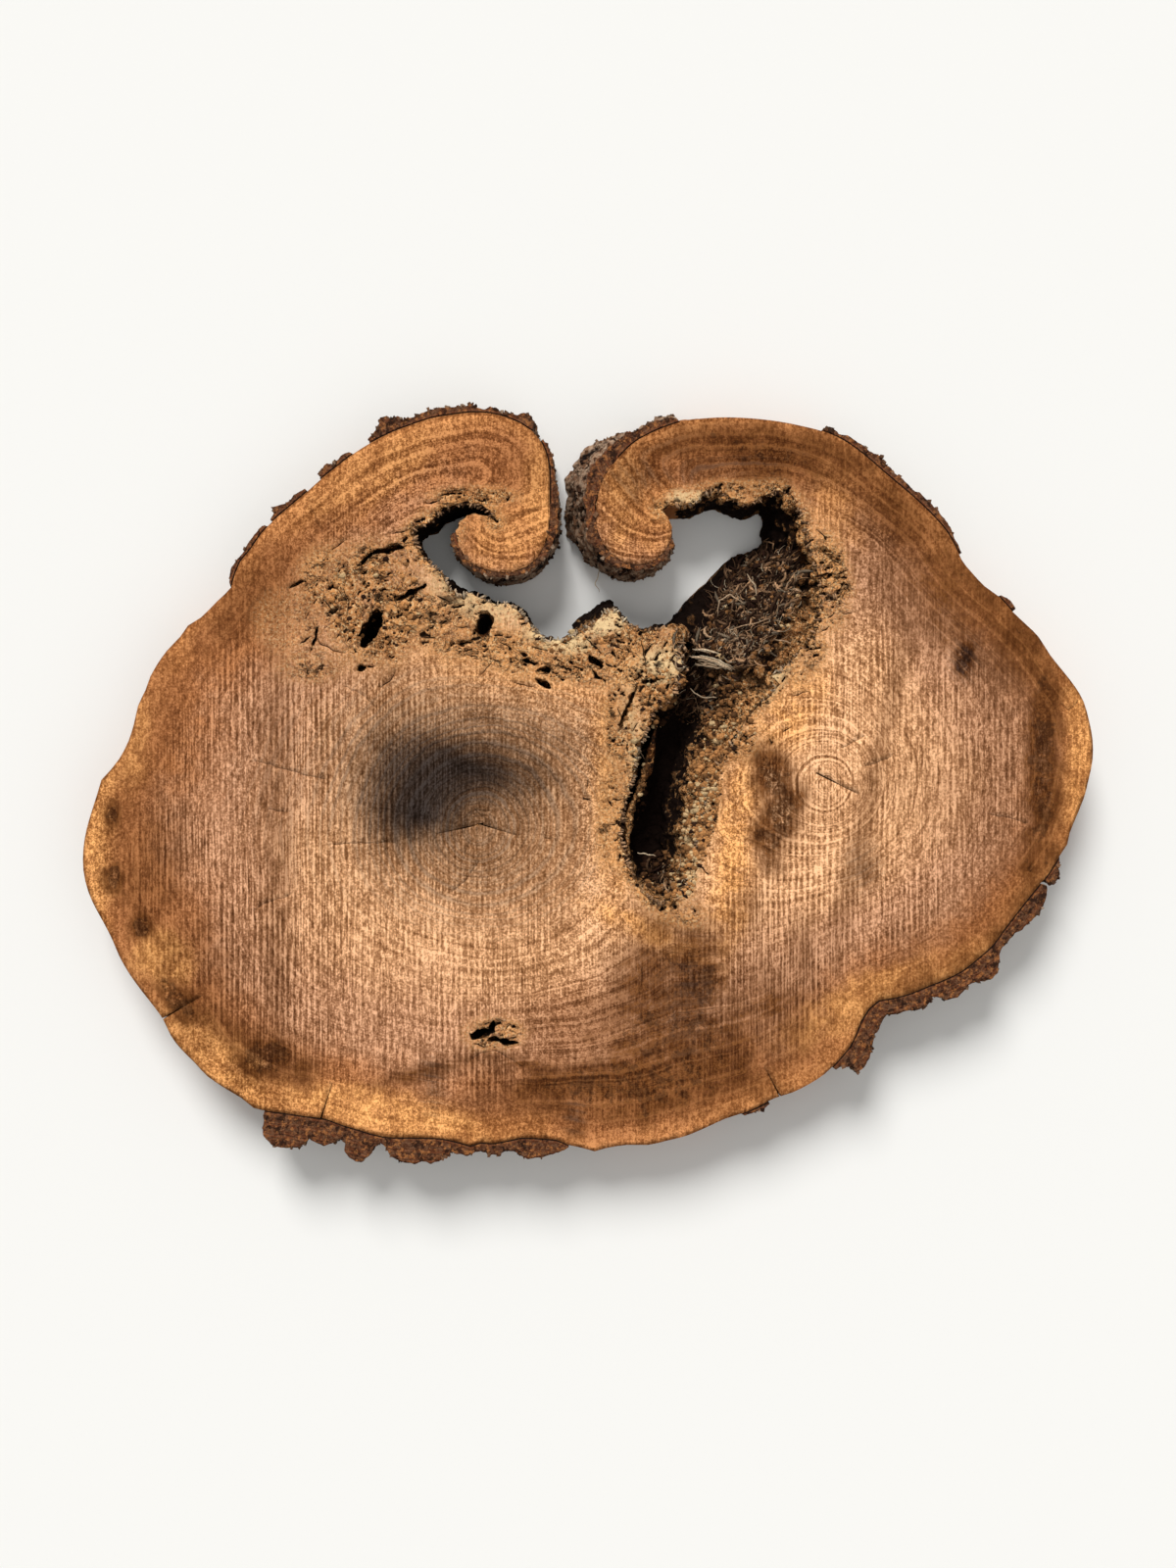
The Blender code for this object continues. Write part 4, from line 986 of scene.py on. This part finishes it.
def make_wood(sizes, colours):
    """Makes the wood from its solid: new flat faces with fine points, pits, slits and rough walls."""
    body = merged_copy(NODES["wood"])
    solid = BVHTree.FromBMesh(body)
    down = Vector((0, 0, -1))

    def on_front(place):
        hit = solid.ray_cast(Vector((*place, THICKNESS + 0.01)), down)[0]
        return hit is not None and hit.z > THICKNESS - 2 * SAME

    def on_back(place):
        hit = solid.ray_cast(Vector((*place, -0.01)), -down)[0]
        return hit is not None and hit.z < 2 * SAME

    flat = [
        f for f in body.faces
        if all(is_front(v.co.z) for v in f.verts) or all(is_back(v.co.z) for v in f.verts)
    ]
    bmesh.ops.delete(body, geom=flat, context="FACES")
    growth = Growth(longest_loop(open_edges(body, THICKNESS)))
    outer = tree_of(growth.outer)

    def is_outer_wall(place):
        return outer.find((place.x, place.y, 0))[2] < 27 * MM

    split_long_edges(body, lambda place: sizes.edge_spacing if is_outer_wall(place) else sizes.wall_spacing)

    low, high = Vector(CAD_BOX[0]), Vector(CAD_BOX[1])
    rim = tree_of(v.co for v in body.verts if is_front(v.co.z))
    lines, depths = grooves_on_face(body, on_front)
    grooves = tree_of(p for line in lines for p in line)
    reach_of = [half for i, line in enumerate(lines) for half in [depths[i // 3][1]] * len(line)]
    inner = []
    for spacing, seed, decayed in ((sizes.fine_spacing, 1, True), (sizes.coarse_spacing, 2, False)):
        points = grid_points(spacing, low, high, seed)
        for p, decay in zip(points, decay_at(points, growth)):
            if (decay > 0.3) != decayed:
                continue
            _, which, away = grooves.find((*p, 0))
            if rim.find((*p, 0))[2] < 0.45 * spacing or away < 0.8 * MM + reach_of[which]:
                continue
            if on_front(p):
                inner.append(p)
    made = fill_flat(body, THICKNESS, on_front, inner, lines)
    sunk = {}
    for (deep, _), line in zip(depths, made[::3]):
        for i, v in enumerate(line):
            if v is not None:
                sunk[v] = deep * (0.45 + 0.55 * math.sin(math.pi * (i + 0.5) / len(line)))
    back = [p for p in grid_points(sizes.back_spacing, low, high, 3) if on_back(p)]
    fill_flat(body, 0.0, on_back, back)

    body.verts.ensure_lookup_table()
    body.normal_update()
    places = np.array([v.co[:] for v in body.verts])
    flat_places = places[:, :2].copy()
    off = growth.bark_distance(flat_places)
    age = growth.age(flat_places, off)
    rot = decay_at(flat_places, growth)
    outer_wall = np.array([is_outer_wall(v.co) for v in body.verts])
    front, behind = is_front(places[:, 2]), is_back(places[:, 2])
    depth = np.maximum((THICKNESS - places[:, 2]) / THICKNESS, 0.03)
    depth = np.where(front | behind | outer_wall, 0.0, depth)
    relief_shading, crack = np.zeros(len(places)), np.zeros(len(places))
    crumbly = zone_strength(flat_places, CRUMBLY, 0.5)

    for i, v in enumerate(body.verts):
        start = v.co.copy()
        if behind[i]:
            if not outer_wall[i] and not all(f.normal.z < -0.9 for f in v.link_faces):
                v.co.x += rough(start, 9 * MM, 5) * 1.5 * MM
                v.co.y += rough(start, 9 * MM, 15) * 1.5 * MM
        elif front[i]:
            if v in sunk:
                v.co.z -= sunk[v]
                # Painted shade: slits and cracks are painted darker the deeper they sink.
                crack[i] = min(1.0, sunk[v] / (4 * MM) + 0.35)
            elif rot[i] >= 0.05:
                to_rim = rim.find((start.x, start.y, 0))[2]
                relief_shading[i] = sink_front(v, rot[i], to_rim, sizes.pit_depth, off[i] > 12 * MM)
        else:
            if outer_wall[i]:
                ridge = noise.noise(Vector((start.x * 160, start.y * 160, start.z * 16)))
                v.co += v.normal * ridge * 0.8 * MM
            else:
                relief_shading[i] = roughen_wall(v, rot[i], depth[i], crumbly[i])
            v.co.z = min(max(v.co.z, 0.4 * MM), THICKNESS - 0.3 * MM)

    mesh = finished_mesh("walnut_wood", body, 48)
    ragged = 0.3 * flat_noise(flat_places, 40, 3) + 0.2 * flat_noise(flat_places, 110, 9)
    clean = np.ones(len(places))
    for zone in STAINS:
        clean *= 1 - zone_strength(flat_places, [zone], 1.0, 0.3 * ragged)
    sawn = front | behind
    curled, sandy, rusty, golden = (
        zone_strength(flat_places, zones, 0.6, ragged) for zones in (CURLED, SANDY, RUSTY, GOLDS)
    )
    write_channels(mesh, "growth", age, np.clip(off / 0.1, 0, 1), sawn)
    # relief_shading and depth carry painted shade and light: darker in sunken pits and down the hollow's
    # walls, lighter on parts of the walls that stand out.
    write_channels(mesh, "decay", np.where(sawn, rot, 1.0), relief_shading, depth)
    write_channels(mesh, "marks", 1 - clean, zone_strength(flat_places, BROWNS, 0.75, ragged), golden)
    write_channels(mesh, "feel", curled, sandy, rusty)
    write_channels(mesh, "cracks", crack, zone_strength(flat_places, PALE_LIT_RIMS, 0.5), crumbly)
    piece = new_piece("walnut_slice_wood", mesh, wood_material(sizes, colours))
    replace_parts(piece, "wood")
    return growth


def bark_move(v, away, scale, relief):
    """How far a point of the bark moves, and how high it then stands."""
    ridge = 0.6 - 2 * abs(noise.noise(Vector((v.co.x * scale, v.co.y * scale, v.co.z * 15))))
    lump = noise.noise(Vector((v.co.x * 190, v.co.y * 190, v.co.z * 90 + 7)))
    rise = ridge * 0.9 + lump * 0.6
    move = Vector()
    inner = away < 1.5 * MM
    flat_cap = is_front(v.co.z) or is_back(v.co.z)
    if not inner and (not flat_cap or any(abs(f.normal.z) < 0.5 for f in v.link_faces)):
        move = Vector((v.normal.x, v.normal.y, 0)) * rise * min(1.0, away / (7 * MM)) * relief
    if not inner and is_front(v.co.z):
        move -= Vector((0, 0, 1)) * (0.5 + 0.5 * lump) * 1.4 * MM
    return move, rise


def make_bark(sizes, colours, growth):
    """Makes each patch of bark from its solid, with ridges on its weathered side."""
    material = bark_material(colours)
    pairs = zip(growth.outer, growth.outer[1:])
    tree = tree_of(a + (b - a) * k / 3 for a, b in pairs for k in range(3))
    for name in BARK_NAMES:
        body = merged_copy(NODES[name])
        split_long_edges(body, lambda place: sizes.bark_spacing)
        body.normal_update()
        scale, relief = 62, sizes.bark_relief
        if name == "bark_right_lip":
            scale, relief = 40, 2.0 * relief
        off = np.array([tree.find((v.co.x, v.co.y, 0))[2] for v in body.verts])
        heights = np.array([v.co.z for v in body.verts])
        moves = [bark_move(v, away, scale, relief) for v, away in zip(body.verts, off)]
        for v, (move, _) in zip(body.verts, moves):
            v.co += move
        mesh = finished_mesh(name, body, 55)
        # How high each point stands; the bark's material paints the low ones darker, as painted shade.
        high = np.array([0.5 + 0.5 * rise for _, rise in moves])
        write_channels(mesh, "bark", np.minimum(off, 0.06), is_front(heights) | is_back(heights), high)
        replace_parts(new_piece("walnut_" + name, mesh, material), name)


class Shreds:
    """Loose matter gathered in one mesh, with a shade and a paleness at each point."""

    def __init__(self):
        self.body, self.shades = bmesh.new(), []

    def chip(self, corners, shade, pale):
        """A box with these eight corners."""
        made = [self.body.verts.new(place) for place in corners]
        for face in BOX_FACES:
            self.body.faces.new([made[k] for k in face])
        self.shades += [(shade, pale)] * len(made)

    def ribbon(self, line, wide, thick, shade, pale):
        """A closed shred along a line of points, flat, and pointed at both ends."""
        rows = []
        last = len(line) - 1
        for i, point in enumerate(line):
            along = (line[min(i + 1, last)] - line[max(i - 1, 0)]).normalized()
            side = along.cross(Vector((0, 0, 1)))
            side = side.normalized() if side.length > 1e-4 else Vector((1, 0, 0))
            up = side.cross(along)
            taper = 0.12 + 0.88 * math.sin(math.pi * (0.04 + 0.92 * i / last)) ** 0.6
            rows.append([
                self.body.verts.new(point + (side * a * wide + up * b * thick) * taper / 2)
                for a, b in ((1, 0), (0, 1), (-1, 0), (0, -1))
            ])
        for a, b in zip(rows, rows[1:]):
            for k in range(4):
                self.body.faces.new((a[k], a[(k + 1) % 4], b[(k + 1) % 4], b[k]))
        self.body.faces.new(rows[0][::-1])
        self.body.faces.new(rows[-1])
        self.shades += [(shade, pale)] * (4 * len(rows))

    def crumb(self, middle, size, seed, shade, pale):
        """A small uneven lump of decayed wood."""
        made = bmesh.ops.create_icosphere(self.body, subdivisions=1, radius=size)["verts"]
        for v in made:
            swell = 1 + 0.5 * noise.noise(v.co.normalized() * 1.7 + Vector((seed, 0, 0)))
            v.co = Vector((v.co.x * swell, v.co.y * swell * 0.8, v.co.z * swell * 0.6)) + middle
        self.shades += [(shade, pale)] * len(made)

    def piece(self, name, slot, tones, smooth=True):
        """Makes the piece; tones are its dark, middle and light colour."""
        bmesh.ops.recalc_face_normals(self.body, faces=self.body.faces[:])
        mesh = bpy.data.meshes.new(name)
        self.body.to_mesh(mesh)
        self.body.free()
        if smooth:
            mesh.shade_smooth()
        write_channels(mesh, "shade", *np.array(self.shades).T)
        new_piece(name, mesh, shred_material(name, *tones))


def make_chips(colours):
    """Chips and frayed scales that stand out of the bark's weathered side."""
    chance = random.Random(23)
    chips = Shreds()
    up = Vector((0, 0, 1))
    for name, count in CHIPS.items():
        bark = bmesh.new()
        bark.from_mesh(bpy.data.objects["walnut_" + name].data)
        layer = bark.verts.layers.float_color["bark"]
        sides = [
            f for f in bark.faces
            if abs(f.normal.z) < 0.5 and min(v[layer][0] for v in f.verts) > 4 * MM
        ]
        for f in chance.choices(sides, [f.calc_area() for f in sides], k=count):
            middle = f.calc_center_median()
            out = Vector((f.normal.x, f.normal.y, 0)).normalized()
            size = Vector((chance.uniform(2, 7), chance.uniform(2, 7), chance.uniform(4, 13))) * MM / 2
            lean = chance.gauss(0, 0.5)
            side = Vector((-out.y, out.x, 0)) * math.cos(lean) + out * math.sin(lean)
            corners = []
            for signs in BOX_CORNERS:
                a, b, c = (k * chance.uniform(0.45, 1.15) * half for k, half in zip(signs, size))
                place = middle + side * a + side.cross(up) * b + up * c
                place.z = min(max(place.z, 0.3 * MM), THICKNESS + 1.5 * MM)
                corners.append(place)
            chips.chip(corners, clamped(chance.gauss(0.5, 0.4)), 0.85 * (chance.random() < 0.28))
        bark.free()
    bmesh.ops.triangulate(chips.body, faces=chips.body.faces[:])
    tones = (colours.bark_furrow, colours.bark_plate, colours.bark_grey)
    chips.piece("bark_chips", "walnut_bark", tones, smooth=False)


def ground(wood, x, y):
    """The height of the wood's surface here, or None in the hollow."""
    hit = wood.ray_cast(Vector((x, y, THICKNESS + 0.02)), Vector((0, 0, -1)))[0]
    return hit.z if hit else None


def scatter(areas, count, chance):
    """Random places in the areas, shared out among them."""
    total = sum(area[-1] for area in areas)
    for x, y, wide, high, tilt, share in areas:
        angle = math.radians(tilt)
        for _ in range(int(count * share / total)):
            reach, bearing = math.sqrt(chance.random()), chance.uniform(0, 2 * math.pi)
            a, b = wide * reach * math.cos(bearing), high * reach * math.sin(bearing)
            yield (
                (x + a * math.cos(angle) - b * math.sin(angle)) * MM,
                (y + a * math.sin(angle) + b * math.cos(angle)) * MM,
            )


def paleness(x, y):
    return zone_strength(np.array([[x, y]]), PALE_LIT_RIMS)[0]


def lay_fibres(fibres, wood, chance, count):
    """Curled fibres and a few broad shreds that follow the sloping wall."""
    for x, y in scatter(FIBRE_AREAS, count, chance):
        z = ground(wood, x, y)
        if z is None or z > THICKNESS - 2 * MM or z < 4 * MM:
            continue
        heading = chance.gauss(math.radians(58), 0.75)
        length = chance.uniform(6, 30) * MM
        curl = chance.gauss(0, 2.4)
        lift = chance.uniform(0.5, 5) * MM
        line = []
        for k in range(FIBRE_STEPS):
            t = k / (FIBRE_STEPS - 1)
            angle = heading + curl * (t - 0.5)
            here = ground(wood, x, y)
            if here is None or here > THICKNESS - 0.5 * MM:
                break
            line.append(Vector((x, y, min(here + 0.5 * MM + lift * math.sin(math.pi * t), THICKNESS))))
            x += math.cos(angle) * length / (FIBRE_STEPS - 1)
            y += math.sin(angle) * length / (FIBRE_STEPS - 1)
        if len(line) < 4:
            continue
        # Painted shade: the lower a fibre lies in the hollow, the darker it is and the seldomer pale.
        level = line[0].z / THICKNESS
        wide = chance.uniform(0.5, 1.2) if chance.random() < 0.72 else chance.uniform(2, 5)
        fibres.ribbon(
            line, wide * MM, chance.uniform(0.3, 0.8) * MM,
            min(1.0, chance.choice((0.0, 0.0, 0.03, 0.1, 0.5, 1.2)) * (0.2 + level)),
            (0.8 if wide < 2 else 0.2) * (chance.random() < 0.2 * level),
        )


def drop_crumbs(crumbs, wood, chance, count):
    for i, (x, y) in enumerate(scatter(CRUMB_AREAS, count, chance)):
        z = ground(wood, x, y)
        if z is None or z < 3 * MM:
            continue
        size = (1.0 + 2.4 * chance.random() ** 2 + 2.6 * (chance.random() < 0.14)) * MM
        # Painted shade: the lower a crumb lies in the hollow, the darker it is and the seldomer pale.
        level = z / THICKNESS
        shade = max(0.0, chance.gauss(0.7, 0.45)) * level ** 1.6
        pale = 0.8 * (chance.random() < (0.08 + 0.5 * paleness(x, y)) * level)
        middle = Vector((x, y, min(z + 0.2 * size, THICKNESS - 0.4 * size)))
        crumbs.crumb(middle, size, i, min(1.0, shade), pale)


def raise_splinters(fibres, rim, chance, count):
    """Splinters along the hollow's ragged rim that point into the hollow."""
    for _ in range(count):
        i = chance.randrange(2, len(rim) - 2)
        along = Vector(rim[i + 1] - rim[i - 1]).normalized()
        x, y = rim[i] + (rim[i + 1] - rim[i]) * chance.random()
        base = Vector((x, y, THICKNESS - chance.uniform(0.5, 7) * MM))
        reach = chance.uniform(2, 7) * MM
        lean = Vector((chance.gauss(along.y, 0.5), chance.gauss(-along.x, 0.5), chance.gauss(0.1, 0.3)))
        lean = lean.normalized() * reach
        line = [base - lean * 0.7, base, base + lean * 0.5 + Vector((0, 0, 0.4 * MM)), base + lean]
        for p in line:
            p.z = min(p.z, THICKNESS + 0.3 * MM)
        fibres.ribbon(
            line, chance.uniform(1.2, 3.6) * MM, chance.uniform(0.6, 1.4) * MM,
            clamped(chance.gauss(0.5, 0.4)), min(0.95, paleness(x, y) * chance.uniform(0.2, 1.3)),
        )


def lay_strands(fibres, chance):
    """The single strands, the wide ones as bundles of threads."""
    for line, wide, shade, pale in STRANDS:
        points = []
        knots = [Vector(p) * MM for p in line]
        for a, b in zip(knots, knots[1:]):
            points += [a.lerp(b, i / 4) for i in range(4)]
        points.append(knots[-1])
        bundle = wide > 2.5
        for thread in range(round(wide * 2.5) if bundle else 1):
            begin, end, aside, thin = 0, None, Vector(), wide
            if bundle:
                begin, end = chance.randrange(0, 4), len(points) - chance.randrange(0, 4)
            a, b = chance.gauss(0, wide / 3), chance.gauss(0, wide / 3)
            spread = Vector((a, b, chance.uniform(-1.5, 1.5)))
            if bundle:
                aside, thin = spread, chance.uniform(0.7, 2.2)
            path = []
            for i, p in enumerate(points):
                bends = [noise.noise(Vector((i * 0.4, wide + thread * 3, seed))) for seed in (2, 7)]
                path.append(p + (aside + Vector((*bends, 0)) * 2.5) * MM)
            fibres.ribbon(
                path[begin:end], thin * MM, max(0.6, thin * 0.3) * MM,
                clamped(chance.gauss(shade, 0.2)), min(0.95, clamped(chance.gauss(pale, 0.25))),
            )


def make_loose(sizes, colours, growth):
    """Loose fibres, shreds and crumbs on the hollow's sloping wall and along the crevice."""
    body = bmesh.new()
    body.from_mesh(bpy.data.objects["walnut_slice_wood"].data)
    wood = BVHTree.FromBMesh(body)
    body.free()
    chance = random.Random(11)
    fibres, crumbs = Shreds(), Shreds()
    lay_fibres(fibres, wood, chance, sizes.fibre_count)
    drop_crumbs(crumbs, wood, chance, sizes.crumb_count)
    raise_splinters(fibres, growth.hollow, chance, sizes.splinter_count)
    lay_strands(fibres, chance)
    dark = colours.bark_furrow
    fibres.piece("hollow_fibres", "walnut_wood", (dark, colours.fibre, colours.fibre_pale))
    crumbs.piece("hollow_crumbs", "walnut_wood", (dark, colours.rot, colours.rot_pale))


def make_stage(colours):
    scene = bpy.context.scene
    bpy.ops.mesh.primitive_plane_add(size=14, location=(0, 0, -0.0002))
    floor = bpy.context.object
    floor.name = "pale_floor"
    g = Graph("pale_floor")
    speck = g.noise(180, 2)
    tone = g.mix(speck * 0.04, colours.floor, colours.floor_speck)
    floor.data.materials.append(g.finish(tone, 0.9, speck, 0.02, 0.1 * MM, 0.1))

    for name, power, width, aim in (
        ("key_light", 3.05, 26, (-0.2, 0.74, 0.65)), ("fill_light", 0.35, 60, (0.5, -0.4, 0.8)),
    ):
        data = bpy.data.lights.new(name, "SUN")
        data.energy, data.angle = power, math.radians(width)
        light = bpy.data.objects.new(name, data)
        scene.collection.objects.link(light)
        light.rotation_euler = Vector(aim).to_track_quat("Z", "Y").to_euler()
    world = bpy.data.worlds.new("soft_studio")
    scene.world = world
    world.use_nodes = True
    world.node_tree.nodes["Background"].inputs["Color"].default_value = (1.0, 1.0, 1.0, 1)
    world.node_tree.nodes["Background"].inputs["Strength"].default_value = 0.4
    scene.view_settings.view_transform = "Standard"
    scene.view_settings.look = "None"

    data = bpy.data.cameras.new("camera")
    data.lens, data.sensor_width = 35, 36
    camera = bpy.data.objects.new("camera", data)
    scene.collection.objects.link(camera)
    camera.location = (0, 0, THICKNESS + 1.867)
    camera.rotation_euler = (0, 0, 0)
    scene.camera = camera


class SliceOperator:
    bl_options = {"REGISTER", "UNDO"}
    growth = None

    @staticmethod
    def settings(context):
        return context.scene.walnut_sizes, context.scene.walnut_colours


class WALNUT_OT_wood(SliceOperator, Operator):
    """Makes the sawn and decayed wood"""

    bl_idname = "walnut.wood"
    bl_label = "Wood"

    def execute(self, context):
        SliceOperator.growth = make_wood(*self.settings(context))
        return {"FINISHED"}


class WALNUT_OT_bark(SliceOperator, Operator):
    """Makes the patches of bark; needs the wood"""

    bl_idname = "walnut.bark"
    bl_label = "Bark"

    def execute(self, context):
        make_bark(*self.settings(context), SliceOperator.growth)
        make_chips(context.scene.walnut_colours)
        return {"FINISHED"}


class WALNUT_OT_fibres(SliceOperator, Operator):
    """Makes the loose fibres in the hollow"""

    bl_idname = "walnut.fibres"
    bl_label = "Fibres"

    def execute(self, context):
        make_loose(*self.settings(context), SliceOperator.growth)
        return {"FINISHED"}


class WALNUT_OT_stage(SliceOperator, Operator):
    """Makes the floor, the lights and the camera"""

    bl_idname = "walnut.stage"
    bl_label = "Stage"

    def execute(self, context):
        make_stage(context.scene.walnut_colours)
        return {"FINISHED"}


OPERATORS = (WALNUT_OT_wood, WALNUT_OT_bark, WALNUT_OT_fibres, WALNUT_OT_stage)


class WALNUT_PT_panel(Panel):
    """Lists the steps and their sizes and colours"""

    bl_label = "Walnut Slice"
    bl_idname = "WALNUT_PT_panel"
    bl_space_type = "VIEW_3D"
    bl_region_type = "UI"
    bl_category = "Walnut"

    def draw(self, context):
        for made in OPERATORS:
            self.layout.operator(made.bl_idname)
        for group in (context.scene.walnut_sizes, context.scene.walnut_colours):
            box = self.layout.box()
            for key in type(group).__annotations__:
                box.prop(group, key)


CLASSES = (WalnutSizes, WalnutColours, *OPERATORS, WALNUT_PT_panel)


def register():
    for made in CLASSES:
        bpy.utils.register_class(made)
    bpy.types.Scene.walnut_sizes = PointerProperty(type=WalnutSizes)
    bpy.types.Scene.walnut_colours = PointerProperty(type=WalnutColours)


def unregister():
    del bpy.types.Scene.walnut_colours
    del bpy.types.Scene.walnut_sizes
    for made in reversed(CLASSES):
        bpy.utils.unregister_class(made)


def main():
    register()
    bpy.ops.walnut.wood()
    bpy.ops.walnut.bark()
    bpy.ops.walnut.fibres()
    bpy.ops.walnut.stage()


if __name__ == "__main__":
    main()
